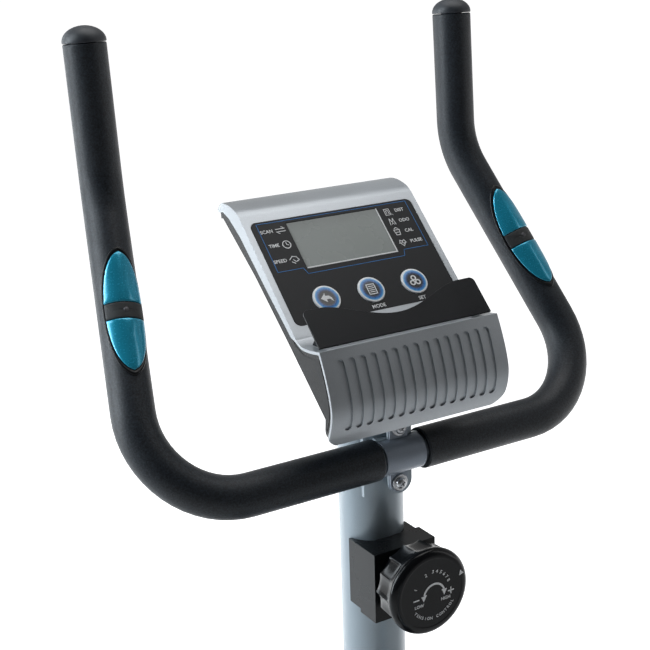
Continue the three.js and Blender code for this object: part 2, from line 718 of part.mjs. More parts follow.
function buildSeatPost() {
  const radius = seatPostDiameter / 2;
  const top = seatLine(seatPostTop);
  const body = rod(seatLine(seatPostTop - seatPostDrop), top, radius, tubeSides);
  const hollow = rod(seatLine(seatPostTop - seatPostDrop - 5), seatLine(seatPostTop - 24), radius - tubeWall, tubeSides);
  const level = box([-60, top.y - 80, top.z - 6], [60, top.y + 80, top.z + 80]);
  const plate = box([-28, top.y - 42, top.z - 8], [28, top.y + 42, top.z - 3]);
  const holes = [];
  for (let i = 0; i < seatPinHoles; i += 1) {
    const along = seatTubeLength - 40 - i * seatPinPitch;
    holes.push(rod(seatPinPoint(along, radius - 8), seatPinPoint(along, radius + 8), seatPinRadius + 1, 8));
  }
  return mesh('seat_post', cut(join(cut(body, level), plate), hollow, ...holes), 'silverPaint');
}

function buildBushing() {
  const inner = seatPostDiameter / 2 + runningGap;
  const outer = seatTubeDiameter / 2 - tubeWall - gap;
  const flange = seatTubeDiameter / 2 + 2;
  const flangeHeight = 5;
  const lip = bushingLength + gap;
  const profile = [
    [inner, 0], [outer, 0], [outer, lip], [flange, lip], [flange, lip + flangeHeight],
    [inner, lip + flangeHeight], [inner, 0],
  ];
  const geometry = turned(profile, seatLine(seatTubeLength - bushingLength), seatLine(seatTubeLength), tubeSides);
  const pinHole = rod(seatLine(seatTubeLength - 40), seatPinPoint(seatTubeLength - 40, 60), seatPinRadius + runningGap, 12);
  return mesh('seat_bushing', cut(geometry, pinHole), 'blackPlastic');
}

function buildHeightKnob() {
  const along = seatTubeLength - 40;
  const surface = seatTubeDiameter / 2 + gap;
  const tip = seatPostDiameter / 2 + runningGap;
  const start = seatPinPoint(along, tip);
  const reach = surface + 1 - tip;
  const neck = 12;
  const head = 24;
  const grip = 21;
  const profile = [
    [0, 0], [seatPinRadius, 0], [seatPinRadius, reach], [10, reach], [10, reach + neck], [grip - 2, reach + neck],
    [grip, reach + neck + 3], [grip, reach + neck + head - 3], [grip - 3, reach + neck + head],
    [0, reach + neck + head],
  ];
  return mesh('height_knob', turned(profile, start, seatPinPoint(along, tip + 1), 20), 'blackPlastic');
}

const saddleRear = seatLine(seatPostTop).y - saddleSetback;
const saddleFloor = seatLine(seatPostTop).z - 3 + gap;

function saddleOutline(insetBy) {
  const rear = saddleRear + insetBy;
  const front = saddleRear + saddleLength - insetBy;
  const wide = saddleWidth / 2 - insetBy;
  const nose = saddleNoseWidth / 2 - insetBy;
  const shape = new THREE.Shape();
  shape.moveTo(0, rear);
  shape.bezierCurveTo(wide * 0.72, rear, wide, rear + 22, wide, rear + 68);
  shape.bezierCurveTo(wide, rear + 128, nose * 1.1, rear + 132, nose, front - 44);
  shape.bezierCurveTo(nose * 0.96, front - 12, nose * 0.6, front, 0, front);
  shape.bezierCurveTo(-nose * 0.6, front, -nose * 0.96, front - 12, -nose, front - 44);
  shape.bezierCurveTo(-nose * 1.1, rear + 132, -wide, rear + 128, -wide, rear + 68);
  shape.bezierCurveTo(-wide, rear + 22, -wide * 0.72, rear, 0, rear);
  return shape;
}

function buildSaddleBase() {
  const plate = extrude(saddleOutline(8), saddleBaseHeight, { curveSegments: 7 });
  return mesh('saddle_base', plate.translate(0, 0, saddleFloor), 'blackPlastic');
}

function buildSaddlePad() {
  const edge = 14;
  const pad = extrude(saddleOutline(edge), saddlePadHeight - 2 * edge,
    { curveSegments: 7, bevelEnabled: true, bevelSize: edge, bevelThickness: edge, bevelSegments: 2 });
  return mesh('saddle_pad', pad.translate(0, 0, saddleFloor + saddleBaseHeight + gap + edge), 'vinyl');
}

// Handlebar

const lowCorner = vec(lowHalfWidth, 0, 0);
const highCorner = vec(highHalfWidth, highReach, highRise);
const gripEnd = vec(gripHalfWidth, gripReach, gripRise);
const armDirection = highCorner.clone().sub(lowCorner).normalize();

// A path of straight runs joined by round bends; each inner corner has its own radius.
function bentPath(corners, radii) {
  const path = new THREE.CurvePath();
  let from = corners[0];
  for (let i = 1; i < corners.length - 1; i += 1) {
    const corner = corners[i];
    const into = corner.clone().sub(corners[i - 1]).normalize();
    const away = corners[i + 1].clone().sub(corner).normalize();
    const turn = into.angleTo(away);
    const reach = radii[i - 1] * Math.tan(turn / 2);
    const handle = (4 / 3) * Math.tan(turn / 4) * radii[i - 1];
    const start = corner.clone().addScaledVector(into, -reach);
    const end = corner.clone().addScaledVector(away, reach);
    path.add(new THREE.LineCurve3(from, start));
    path.add(new THREE.CubicBezierCurve3(start, start.clone().addScaledVector(into, handle),
      end.clone().addScaledVector(away, -handle), end));
    from = end;
  }
  path.add(new THREE.LineCurve3(from, corners[corners.length - 1]));
  return path;
}

function ringShape(outer, inner, count) {
  const points = [];
  const hole = [];
  for (let i = 0; i < count; i += 1) {
    const angle = (2 * Math.PI * i) / count;
    points.push([outer * Math.cos(angle), outer * Math.sin(angle)]);
    hole.push([inner * Math.cos(-angle), inner * Math.sin(-angle)]);
  }
  const shape = polygon(points);
  shape.holes.push(polygon(hole));
  return shape;
}

function flipX(point) {
  return vec(-point.x, point.y, point.z);
}

function buildBar() {
  const corners = [flipX(gripEnd), flipX(highCorner), flipX(lowCorner), lowCorner, highCorner, gripEnd];
  const path = bentPath(corners, [highBendRadius, lowBendRadius, lowBendRadius, highBendRadius]);
  const radius = barDiameter / 2;
  const geometry = extrude(ringShape(radius, radius - tubeWall, 8), 1, { steps: 40, extrudePath: path });
  return mesh('handlebar_tube', geometry, 'silverPaint');
}

function armMatrix() {
  const up = vec(0, -highRise, highReach).projectOnPlane(armDirection).normalize();
  const lateral = armDirection.clone().cross(up).normalize();
  const centre = lowCorner.clone().addScaledVector(armDirection, sensorAlong);
  return new THREE.Matrix4().makeBasis(lateral, armDirection, up).setPosition(centre);
}

function almond(insetBy) {
  const tip = sensorHalfLength - insetBy * 2;
  const wide = sensorHalfWidth - insetBy;
  const shape = new THREE.Shape();
  shape.moveTo(0, -tip);
  shape.bezierCurveTo(wide * 0.5, -tip * 0.9, wide, -tip * 0.5, wide, 0);
  shape.bezierCurveTo(wide, tip * 0.5, wide * 0.5, tip * 0.9, 0, tip);
  shape.bezierCurveTo(-wide * 0.5, tip * 0.9, -wide, tip * 0.5, -wide, 0);
  shape.bezierCurveTo(-wide, -tip * 0.5, -wide * 0.5, -tip * 0.9, 0, -tip);
  return shape;
}

// A shell around the arm with an almond outline, facing the rider.
function almondShell(insetBy, inner, outer) {
  const reach = sensorHalfLength + 10;
  const prism = extrude(almond(insetBy), 40, { curveSegments: 6 });
  const ring = pipe(vec(0, -reach, 0), vec(0, reach, 0), outer, inner, wheelSides);
  return common(prism, ring);
}

function foamGrip(isMirrored) {
  const path = bentPath([vec(foamStart, 0, 0), lowCorner, highCorner, gripEnd], [lowBendRadius, highBendRadius]);
  const sleeve = extrude(ringShape(foamDiameter / 2, foamBore / 2, 10), 1, { steps: 24, extrudePath: path });
  const pocket = almondShell(-gap, foamBore / 2 - 1, sensorOuter + 6).applyMatrix4(armMatrix());
  return mirrored(cut(sleeve, pocket), isMirrored);
}

function sensorHousing(isMirrored) {
  const shell = almondShell(0, foamBore / 2 - 0.6, sensorOuter);
  return mirrored(shell.applyMatrix4(armMatrix()), isMirrored);
}

function sensorPlate(isUpper, isMirrored) {
  const inner = sensorOuter + gap;
  const shell = almondShell(sensorRim, inner, inner + plateThickness);
  const band = sensorBand / 2;
  const keep = isUpper ? box([-40, band, 0], [40, 90, 40]) : box([-40, -90, 0], [40, -band, 40]);
  return mirrored(common(shell, keep).applyMatrix4(armMatrix()), isMirrored);
}

function gripCap(isMirrored) {
  const radius = foamDiameter / 2 + 0.3;
  const plug = barDiameter / 2 - tubeWall - 1.2;
  const profile = [[0, -14], [plug, -14], [plug, gap], [radius, gap]];
  for (let i = 0; i < domeSteps; i += 1) {
    const angle = (Math.PI / 2) * (i / domeSteps);
    profile.push([radius * Math.cos(angle), domeFoot + (gripEndHeight - domeFoot) * Math.sin(angle)]);
  }
  profile.push([0, gripEndHeight]);
  const along = gripEnd.clone().sub(highCorner).normalize();
  return mirrored(turned(profile, gripEnd, gripEnd.clone().add(along), tubeSides), isMirrored);
}

// Handlebar post with the clamp's fixed half, in the post's own frame

// A tongue with two round ends, one at each clamp screw.
function clampEars(radius, middle, y, thickness) {
  const outline = beltOutline(middle, -clampScrewDrop, radius, middle, clampScrewDrop, radius, 10, 10);
  return acrossY(polygon(outline), y, y + thickness);
}

function buildPost() {
  const body = rod(vec(0, 0, -postDrop), vec(0, 0, postRise), postRadius, postSides);
  const hollow = rod(vec(0, 0, -postDrop - 5), vec(0, 0, postRise + 5), postRadius - tubeWall, postSides);
  const sleeveRing = rod(vec(0, 0, sleeveBottom), vec(0, 0, sleeveTop), sleeveOuter, postSides);
  const sleeveKeep = box([-23, -60, sleeveBottom - 1], [23, -15, sleeveTop + 1]);
  const cradle = rod(vec(-clampHalfWidth - 1.5, -barStandoff, 0), vec(clampHalfWidth + 1.5, -barStandoff, 0), clampOuter, postSides);
  const web = box([-16, -barStandoff + 4, -clampOuter + 3], [16, -25, clampOuter - 3]);
  const ears = clampEars(clampEarRadius + clampEarShift, clampEarShift, -barStandoff + gap, clampEarThickness);
  const front = box([-60, -barStandoff - 60, -80], [60, -barStandoff + gap, 80]);
  const bore = rod(vec(-60, -barStandoff, 0), vec(60, -barStandoff, 0), clampBore, postSides);
  const screwHoles = [-clampScrewDrop, clampScrewDrop].map((z) => {
    return rod(vec(0, -barStandoff - 20, z), vec(0, -barStandoff + 9, z), clampScrewRadius + gap, 12);
  });
  const cableHole = rod(vec(0, -60, knobCentre), vec(0, 0, knobCentre), cableRadius + 3, 12);
  const outer = join(body, common(sleeveRing, sleeveKeep), cradle, web, ears);
  return mesh('handlebar_post', cut(outer, front, bore, hollow, cableHole, ...screwHoles), 'silverPaint');
}

function buildClampStrap() {
  const ring = rod(vec(-clampHalfWidth, -barStandoff, 0), vec(clampHalfWidth, -barStandoff, 0), clampOuter, postSides);
  const ears = clampEars(clampEarRadius, 0, -barStandoff - clampEarThickness, clampEarThickness);
  const back = box([-60, -barStandoff - gap, -80], [60, -barStandoff + 60, 80]);
  const bore = rod(vec(-60, -barStandoff, 0), vec(60, -barStandoff, 0), clampBore, postSides);
  const screwHoles = [-clampScrewDrop, clampScrewDrop].map((z) => {
    return rod(vec(0, -barStandoff - 20, z), vec(0, -barStandoff + 20, z), clampScrewRadius + gap, 12);
  });
  return mesh('clamp_strap', cut(join(ring, ears), back, bore, ...screwHoles), 'silverPaint');
}

function clampScrew(name, z) {
  const shank = 8;
  const front = -barStandoff - clampEarThickness - gap;
  const washer = 1.6;
  const head = 5;
  const profile = [
    [0, 0], [clampScrewRadius, 0], [clampScrewRadius, shank], [washerRadius, shank], [washerRadius, shank + washer],
    [head, shank + washer], [head, shank + washer + 1.6], [head - 2, shank + washer + 3], [0, shank + washer + 3.4],
  ];
  return mesh(name, turned(profile, vec(0, front + shank, z), vec(0, front, z), 20), 'zinc');
}

// Tension control, in the post's own frame

function buildMount() {
  const rearBlock = box([-mountHalfWidth + mountInset, -mountStep, mountBottom + mountInset],
    [mountHalfWidth - mountInset, -mountBack, mountTop - mountInset]);
  const frontBlock = box([-mountHalfWidth, -mountFront, mountBottom], [mountHalfWidth, -mountStep, mountTop]);
  const post = rod(vec(0, 0, mountBottom - 5), vec(0, 0, mountTop + 5), postRadius + gap, postSides);
  const cableHole = rod(vec(0, -mountFront + 6, knobCentre), vec(0, 0, knobCentre), cableRadius + 2, 12);
  return mesh('tension_mount', cut(join(rearBlock, frontBlock), post, cableHole), 'blackPlastic');
}

function buildKnob() {
  const points = [];
  const perFlute = 6;
  for (let i = 0; i < knobFlutes * perFlute; i += 1) {
    const angle = (2 * Math.PI * i) / (knobFlutes * perFlute);
    const wave = Math.sin((angle * knobFlutes) / 2) ** 2;
    const radius = knobRadius - knobEdgeStep - fluteDepth * wave;
    points.push([radius * Math.cos(angle), radius * Math.sin(angle)]);
  }
  const fluted = acrossY(polygon(points), -knobFace + knobRimDepth - 1, -knobFace + knobDepth)
    .translate(0, 0, knobCentre);
  const profile = [
    [0, 0], [knobRadius, 0], [knobRadius, knobRimDepth - knobRimEase],
    [knobRadius - knobRimEase, knobRimDepth], [0, knobRimDepth],
  ];
  const rim = turned(profile, vec(0, -knobFace + knobRimDepth, knobCentre), vec(0, -knobFace, knobCentre), postSides);
  const hub = rod(vec(0, -knobFace + knobDepth - 1, knobCentre), vec(0, -mountFront - runningGap, knobCentre), knobHubRadius);
  return mesh('tension_knob', join(fluted, rim, hub), 'glossBlack');
}

function buildCable() {
  const points = [
    postPoint(0, -mountFront + 8, knobCentre),
    postPoint(0, -24, knobCentre - 1),
    postPoint(0, -9, knobCentre - 14),
    postPoint(0, -6, knobCentre - 40),
    postPoint(0, -6, -300),
    postAtHeight(420),
    postAtHeight(385).add(vec(0, 6, 0)),
    vec(0, postAtHeight(372).y + 27, 370),
    vec(0, magnetPivot.y - 12, magnetPivot.z + 17),
  ];
  const path = new THREE.CatmullRomCurve3(points, false, 'centripetal');
  const section = [];
  for (let i = 0; i < 8; i += 1) {
    section.push([cableRadius * Math.cos((Math.PI * i) / 4), cableRadius * Math.sin((Math.PI * i) / 4)]);
  }
  return mesh('tension_cable', extrude(polygon(section), 1, { steps: 30, extrudePath: path }), 'rubber');
}

// Console, in its own frame

// The console seen from its end, as (up the face, out of the face) points.
const lipLine = [
  [-122.7, -30.5], [-119.6, -17], [-114.5, -6], [-107, 3.4], [-97, 10.4], [-87, 15.6], [-75, 20.9], [-61.5, 26],
];
const ledgeLine = [[-52.8, 14.6], [-43, 4.2], [-33, 0]];
const crownLine = [[96, 0], [103, -1.4], [110, -4.6], [118, -9.8], [125, -16.5], [129, -22.5], [130, -30]];
const backLine = [[124, -30.5], [47, -21], [-29, -17], [-104, -14.5], [-116, -29.5]];

function consoleProfile() {
  return [...lipLine, ...ledgeLine, ...crownLine, ...backLine];
}

function consolePrisms(insetBy) {
  const top = roundedRectangle(-consoleHalfWidth + insetBy, consoleHalfWidth - insetBy, -400, 131.5 - insetBy,
    topCornerRadius - insetBy);
  const fromAbove = extrude(top, 200).translate(0, 0, -100);
  const low = panelBottomRise - faceRise + insetBy;
  const front = roundedRectangle(-consoleHalfWidth + insetBy, consoleHalfWidth - insetBy, low, low + 600,
    panelCornerRadius - insetBy);
  const fromFront = acrossY(front, -300, 300).rotateX(-tilt);
  return [fromAbove, fromFront];
}

function consoleBlock(points, halfWidth, insetBy) {
  const reversed = signedArea(points) < 0 ? [...points].reverse() : points;
  return common(acrossX(polygon(reversed), -halfWidth, halfWidth), ...consolePrisms(insetBy));
}

function signedArea(points) {
  return points.reduce((sum, [x, y], i) => {
    const [nextX, nextY] = points[(i + 1) % points.length];
    return sum + (x * nextY - nextX * y) / 2;
  }, 0);
}

function insetProfile(points, distance) {
  return signedArea(points) > 0 ? inset(points, distance) : inset(points, -distance);
}

// The strip of the profile that belongs to the front moulding; its ends overshoot the console.
function frontStrip(depth) {
  const [[endS, endN], [beforeS, beforeN]] = lipLine;
  const start = [endS - 2 * (beforeS - endS), endN - 2 * (beforeN - endN)];
  const finish = [crownLine.at(-1)[0], start[1]];
  const front = [start, ...lipLine, ...ledgeLine, ...crownLine.slice(0, -1), finish];
  const outside = insetProfile(front, -3);
  const inside = insetProfile(front, depth).reverse();
  const strip = [...outside, ...inside];
  const ordered = signedArea(strip) < 0 ? strip.reverse() : strip;
  return acrossX(polygon(ordered), -200, 200);
}

function faceOpenings() {
  const sticker = extrude(roundedRectangle(-stickerHalfWidth - gap, stickerHalfWidth + gap, stickerBottom - gap,
    stickerTop + gap, 6), 20).translate(0, 0, -stickerThickness - gap);
  const lens = box([lensLeft - gap, lensBottom - gap, -40], [lensRight + gap, lensTop + gap, 40]);
  const buttons = [-1, 0, 1].map((i) => {
    return rod(vec(i * buttonPitch, 0, -40), vec(i * buttonPitch, 0, 40), buttonRadius + runningGap, tubeSides);
  });
  return { sticker, lens, buttons };
}

function buildConsoleFront() {
  const points = consoleProfile();
  const { sticker, lens, buttons } = faceOpenings();
  const outer = consoleBlock(points, consoleHalfWidth, 0);
  const inner = consoleBlock(insetProfile(points, consoleWall), consoleHalfWidth - consoleWall - 1, consoleWall + 1);
  const shell = common(cut(outer, inner), frontStrip(frontDepth));
  return mesh('console_front', cut(shell, sticker, lens, ...buttons), 'silverPlastic');
}

function buildConsoleBack() {
  const points = consoleProfile();
  const outer = consoleBlock(points, consoleHalfWidth - sideInset, sideInset);
  const inner = consoleBlock(insetProfile(points, consoleWall + 0.5), consoleHalfWidth - sideInset - consoleWall,
    sideInset + consoleWall);
  const postTop = consolePoint(0, 0, postRise);
  const postFoot = consolePoint(0, 0, postRise - bossLength);
  const bossFoot = consolePoint(0, 0, postRise - 22);
  const bossTop = consolePoint(0, 0, postRise + 90);
  const sleeve = rod(bossFoot, bossTop, postRadius + gap + bossWall, postSides);
  const clear = rod(postFoot, consolePoint(0, 0, postRise + gap), postRadius + gap, postSides);
  // the socket starts inside the housing's back wall
  const [top, upper, lower, bottom] = backLine.map(([s, n]) => [s, n + consoleWall / 2]);
  const far = 250;
  const belowBack = acrossX(polygon([[bottom[0], -far], [far, -far], [far, top[1]], top, upper, lower, bottom]), -80, 80);
  const boss = cut(common(sleeve, belowBack), rod(postFoot, postTop, postRadius + gap, postSides));
  const shell = cut(cut(outer, frontStrip(frontDepth + gap)), inner);
  return mesh('console_back', cut(join(shell, boss), clear), 'blackPlastic');
}

// A point of the post's frame, given in the console's frame.
function consolePoint(x, y, z) {
  const point = postPoint(x, y, z).sub(barCentre).sub(vec(0, faceReach, faceRise));
  return point.applyAxisAngle(vec(1, 0, 0), -tilt);
}

function buildSticker() {
  const { lens, buttons } = faceOpenings();
  const plate = extrude(roundedRectangle(-stickerHalfWidth, stickerHalfWidth, stickerBottom, stickerTop, 6),
    stickerThickness).translate(0, 0, -stickerThickness);
  return mesh('display_panel', cut(plate, lens, ...buttons), 'glossBlack');
}

function buildLens() {
  const lens = box([lensLeft, lensBottom, -lensThickness - 0.4], [lensRight, lensTop, -0.4]);
  return mesh('display_lens', lens, 'lens');
}

function buildButton(name, place) {
  const profile = [
    [0, 0], [buttonRadius, 0], [buttonRadius, buttonDepth - 1], [buttonRadius - 1.6, buttonDepth], [0, buttonDepth],
  ];
  const start = vec(place * buttonPitch, 0, buttonProud - buttonDepth);
  return mesh(name, turned(profile, start, start.clone().add(vec(0, 0, 1)), tubeSides), 'button');
}

function buildBoard() {
  return mesh('circuit_board', box([-70, -28, -boardDepth - boardThickness], [70, 80, -boardDepth]), 'circuit');
}

function buildBookRest() {
  const shape = new THREE.Shape();
  const top = flapFoot + flapHeight;
  const half = flapHalfWidth;
  shape.moveTo(-half, flapFoot);
  shape.lineTo(half, flapFoot);
  shape.lineTo(half, top - 6);
  shape.quadraticCurveTo(half, top, half - 6, top);
  shape.bezierCurveTo(half * 0.7, top, half * 0.45, top - flapDip, 0, top - flapDip);
  shape.bezierCurveTo(-half * 0.45, top - flapDip, -half * 0.7, top, -half + 6, top);
  shape.quadraticCurveTo(-half, top, -half, top - 6);
  const plate = extrude(shape, flapThickness, { curveSegments: 10 })
    .translate(0, 0, flapStandoff - flapThickness / 2);
  const under = flapStandoff - flapThickness / 2 + 0.1;
  const lugs = [-1, 1].map((side) => {
    const middle = side * (flapHalfWidth - 7);
    const outline = [[-57, under], [-56.4, 20.8], [-51.7, 14.6], [-44, 6.3], [-44, under]];
    return acrossX(polygon(outline), middle - 1.5, middle + 1.5);
  });
  return mesh('book_rest', join(plate, ...lugs), 'blackPlastic');
}

// Assembly

const bike = new THREE.Group();

bike.add(buildFrame());
bike.add(buildStabiliser('front_stabiliser', stabiliserY));
bike.add(buildStabiliser('rear_stabiliser', -stabiliserY));
for (const [side, isMirrored] of sides) {
  bike.add(mesh(`front_cap_${side}`, frontCap(isMirrored), 'blackPlastic'));
  bike.add(mesh(`transport_wheel_${side}`, transportWheel(isMirrored), 'rubber'));
  bike.add(mesh(`rear_cap_${side}`, rearCap(isMirrored), 'blackPlastic'));
  bike.add(mesh(`levelling_foot_${side}`, levellingFoot(isMirrored), 'rubber'));
  bike.add(mesh(`shroud_${side}`, shroudHalf(isMirrored), 'blackPlastic'));
  bike.add(mesh(`crank_arm_${side}`, crankArm(isMirrored), 'zinc'));
  bike.add(mesh(`pedal_spindle_${side}`, pedalSpindle(isMirrored), 'zinc'));
  bike.add(mesh(`pedal_${side}`, pedalBody(isMirrored), 'blackPlastic'));
  bike.add(mesh(`pedal_strap_${side}`, pedalStrap(isMirrored), 'rubber'));
}
const axleEnd = armOuter + axleOverhang;
bike.add(mesh('crank_axle', rod(vec(-axleEnd, crankY, crankZ), vec(axleEnd, crankY, crankZ), axleRadius), 'zinc'));
bike.add(buildPulley());
bike.add(buildFlywheel());
bike.add(buildFlywheelAxle());
bike.add(buildBelt());
bike.add(buildMagnetBracket());
bike.add(buildCable());
bike.add(buildCollar());
bike.add(buildSeatPost());
bike.add(buildBushing());
bike.add(buildHeightKnob());
bike.add(buildSaddleBase());
bike.add(buildSaddlePad());

const post = new THREE.Group();
post.position.copy(postOrigin);
post.rotation.x = -lean;
post.add(buildPost());
post.add(buildClampStrap());
post.add(clampScrew('clamp_screw_lower', -clampScrewDrop));
post.add(clampScrew('clamp_screw_upper', clampScrewDrop));
post.add(buildMount());
post.add(buildKnob());
bike.add(post);

const handlebar = new THREE.Group();
handlebar.position.copy(barCentre);
handlebar.add(buildBar());
for (const [side, isMirrored] of sides) {
  handlebar.add(mesh(`foam_grip_${side}`, foamGrip(isMirrored), 'foam'));
  handlebar.add(mesh(`grip_end_${side}`, gripCap(isMirrored), 'blackPlastic'));
  handlebar.add(mesh(`sensor_housing_${side}`, sensorHousing(isMirrored), 'blackPlastic'));
  handlebar.add(mesh(`sensor_plate_upper_${side}`, sensorPlate(true, isMirrored), 'teal'));
  handlebar.add(mesh(`sensor_plate_lower_${side}`, sensorPlate(false, isMirrored), 'teal'));
}
bike.add(handlebar);

const console3d = new THREE.Group();
console3d.position.copy(barCentre).add(vec(0, faceReach, faceRise));
console3d.rotation.x = tilt;
console3d.add(buildConsoleFront());
console3d.add(buildConsoleBack());
console3d.add(buildSticker());
console3d.add(buildLens());
console3d.add(buildBoard());
console3d.add(buildBookRest());
console3d.add(buildButton('button_reset', -1));
console3d.add(buildButton('button_mode', 0));
console3d.add(buildButton('button_set', 1));
bike.add(console3d);

export default bike;
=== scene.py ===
import json
import math

import bmesh
import bpy
from mathutils import Matrix, Vector


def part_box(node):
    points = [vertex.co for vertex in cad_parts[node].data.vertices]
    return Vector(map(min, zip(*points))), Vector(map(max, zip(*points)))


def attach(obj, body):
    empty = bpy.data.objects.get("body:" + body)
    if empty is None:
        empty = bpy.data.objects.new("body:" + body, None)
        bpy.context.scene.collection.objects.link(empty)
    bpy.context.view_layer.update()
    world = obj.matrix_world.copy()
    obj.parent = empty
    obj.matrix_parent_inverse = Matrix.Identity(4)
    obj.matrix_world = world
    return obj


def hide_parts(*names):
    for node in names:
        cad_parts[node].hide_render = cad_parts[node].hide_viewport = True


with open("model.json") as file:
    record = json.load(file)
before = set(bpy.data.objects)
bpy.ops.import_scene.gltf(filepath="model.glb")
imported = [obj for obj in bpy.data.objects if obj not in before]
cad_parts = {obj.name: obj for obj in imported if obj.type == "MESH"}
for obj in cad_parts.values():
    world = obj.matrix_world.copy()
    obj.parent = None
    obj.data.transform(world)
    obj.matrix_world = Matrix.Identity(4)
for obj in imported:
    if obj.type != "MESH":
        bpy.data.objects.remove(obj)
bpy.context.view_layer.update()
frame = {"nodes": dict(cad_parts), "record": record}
cadNodes = frame["nodes"]
mm = 0.001

# Places that the pieces share, in the same frame as the CAD
barCentre = Vector((0, 0.190, 0.865))
postLean = math.radians(3.43)
faceTilt = math.radians(40.16)
barStandoff = 0.0456
postOrigin = barCentre + Vector((0, barStandoff * math.cos(postLean), -barStandoff * math.sin(postLean)))
postPlace = Matrix.Translation(postOrigin) @ Matrix.Rotation(-postLean, 4, "X")
facePlace = Matrix.Translation(barCentre + Vector((0, 0.0461, 0.1425))) @ Matrix.Rotation(faceTilt, 4, "X")


class Wire:  # one socket; maths on it adds Math nodes
    def __init__(self, paint, socket):
        self.paint, self.socket = paint, socket

    def maths(self, operation, *values):
        return self.paint.node("Math", {"operation": operation}, dict(enumerate(values)))

    def __add__(self, other):
        return self.maths("ADD", self, other)

    def __sub__(self, other):
        return self.maths("SUBTRACT", self, other)

    def __rsub__(self, other):
        return self.maths("SUBTRACT", other, self)

    def __mul__(self, other):
        return self.maths("MULTIPLY", self, other)

    def __truediv__(self, other):
        return self.maths("DIVIDE", self, other)

    __radd__ = __add__
    __rmul__ = __mul__


class Paint:  # a material and its node tree
    def __init__(self, name):
        self.material = bpy.data.materials.new(name)
        self.material.use_nodes = True
        self.tree = self.material.node_tree
        self.shader = self.tree.nodes["Principled BSDF"]

    def node(self, kind, settings=None, values=None, out=0):
        made = self.tree.nodes.new("ShaderNode" + kind)
        for key, value in (settings or {}).items():
            if key == "stops":
                ramp = made.color_ramp
                while len(ramp.elements) < len(value):
                    ramp.elements.new(0.5)
                for element, (place, colour) in zip(ramp.elements, value):
                    element.position, element.color = place, (*colour, 1)
            else:
                setattr(made, key, value)
        for key, value in (values or {}).items():
            self.plug(made.inputs[key], value)
        return Wire(self, made.outputs[out])

    def plug(self, socket, value):
        if isinstance(value, Wire):
            self.tree.links.new(value.socket, socket)
        elif socket.type == "RGBA" and len(value) == 3:
            socket.default_value = (*value, 1)
        else:
            socket.default_value = value

    def coords(self, stretch=(1, 1, 1), middle=(0, 0, 0), turn=(0, 0, 0)):
        place = self.node("TexCoord", out="Object")
        centred = self.node("VectorMath", {"operation": "SUBTRACT"}, {0: place, 1: middle})
        return self.node("Mapping", {}, {"Vector": centred, "Rotation": turn, "Scale": stretch})

    def noise(self, scale, detail=3.0, roughness=0.55, coords=None):
        coords = coords or self.coords()
        return self.node("TexNoise", {}, {"Vector": coords, "Scale": scale, "Detail": detail, "Roughness": roughness})

    def spread(self, value, low, high, start=0.3, end=0.7):
        return self.node("MapRange", {}, {"Value": value, 1: start, 2: end, 3: low, 4: high})

    def blend(self, factor, first, second):
        return self.node("Mix", {"data_type": "RGBA"}, {0: factor, 6: first, 7: second}, out=2)

    def bump(self, height, strength, distance, normal=None):
        values = {"Height": height, "Strength": strength, "Distance": distance}
        if normal:
            values["Normal"] = normal
        return self.node("Bump", {}, values)

    def finish(self, **sockets):
        for key, value in sockets.items():
            self.plug(self.shader.inputs[key.replace("_", " ")], value)
        return self.material


def shade(colour, factor):
    return tuple(channel * factor for channel in colour)


def enamel(name, look):
    paint = Paint(name)
    mottle = paint.noise(look["mottleScale"], 4)
    peel = paint.noise(look["peelScale"], 2)
    flake = paint.noise(look["flakeScale"], 1)
    colour = paint.blend(paint.spread(mottle, 0, 1), shade(look["colour"], 0.94), look["colour"])
    colour = paint.blend(paint.spread(flake, 0, look["flake"], 0.55, 0.75), colour, shade(look["colour"], 1.5))
    return paint.finish(Base_Color=colour, Metallic=look["metallic"],
                        Roughness=paint.spread(mottle, look["roughness"] - 0.04, look["roughness"] + 0.05),
                        Coat_Weight=look["coat"], Coat_Roughness=0.12,
                        Normal=paint.bump(peel, 0.12, 0.0004))


def moulded(name, look):
    paint = Paint(name)
    grain = paint.node("TexVoronoi", {"feature": "SMOOTH_F1"},
                       {"Vector": paint.coords(), "Scale": look["grainScale"], "Smoothness": 0.6})
    cloud = paint.noise(look["cloudScale"], 5)
    handled = paint.spread(cloud, 0, 1, 0.35, 0.65)
    colour = paint.blend(handled, look["colour"], shade(look["colour"], look["lift"]))
    return paint.finish(Base_Color=colour, Specular_IOR_Level=look.get("shine", 0.3),
                        Roughness=paint.spread(cloud, look["roughness"] - 0.05, look["roughness"] + 0.07),
                        Normal=paint.bump(grain, look["grain"], 0.0003))


def foamed(name, look):
    paint = Paint(name)
    cells = paint.node("TexVoronoi", {}, {"Vector": paint.coords(), "Scale": look["cellScale"]})
    fuzz = paint.noise(look["fuzzScale"], 3, 0.7)
    smear = paint.noise(look["smearScale"], 4)
    colour = paint.blend(paint.spread(fuzz, 0, 1, 0.35, 0.7), look["colour"], look["dust"])
    normal = paint.bump(fuzz, look["grain"], 0.0005, paint.bump(cells, look["grain"] * 0.6, 0.0003))
    return paint.finish(Base_Color=colour, Specular_IOR_Level=look["shine"], Normal=normal,
                        Roughness=paint.spread(smear, look["roughness"] - 0.06, look["roughness"] + 0.06))


def lacquered(name, look):
    paint = Paint(name)
    cloud = paint.noise(look["cloudScale"], 3)
    haze = paint.noise(look["hazeScale"], 2)
    colour = paint.blend(paint.spread(cloud, 0, 1), look["colour"], shade(look["colour"], look["lift"]))
    return paint.finish(Base_Color=colour, Metallic=look["metallic"], Coat_Weight=look["coat"], Coat_Roughness=0.05,
                        Specular_IOR_Level=look.get("shine", 0.5),
                        Roughness=paint.spread(haze, look["roughness"] - 0.03, look["roughness"] + 0.05),
                        Normal=paint.bump(haze, 0.02, 0.0001))


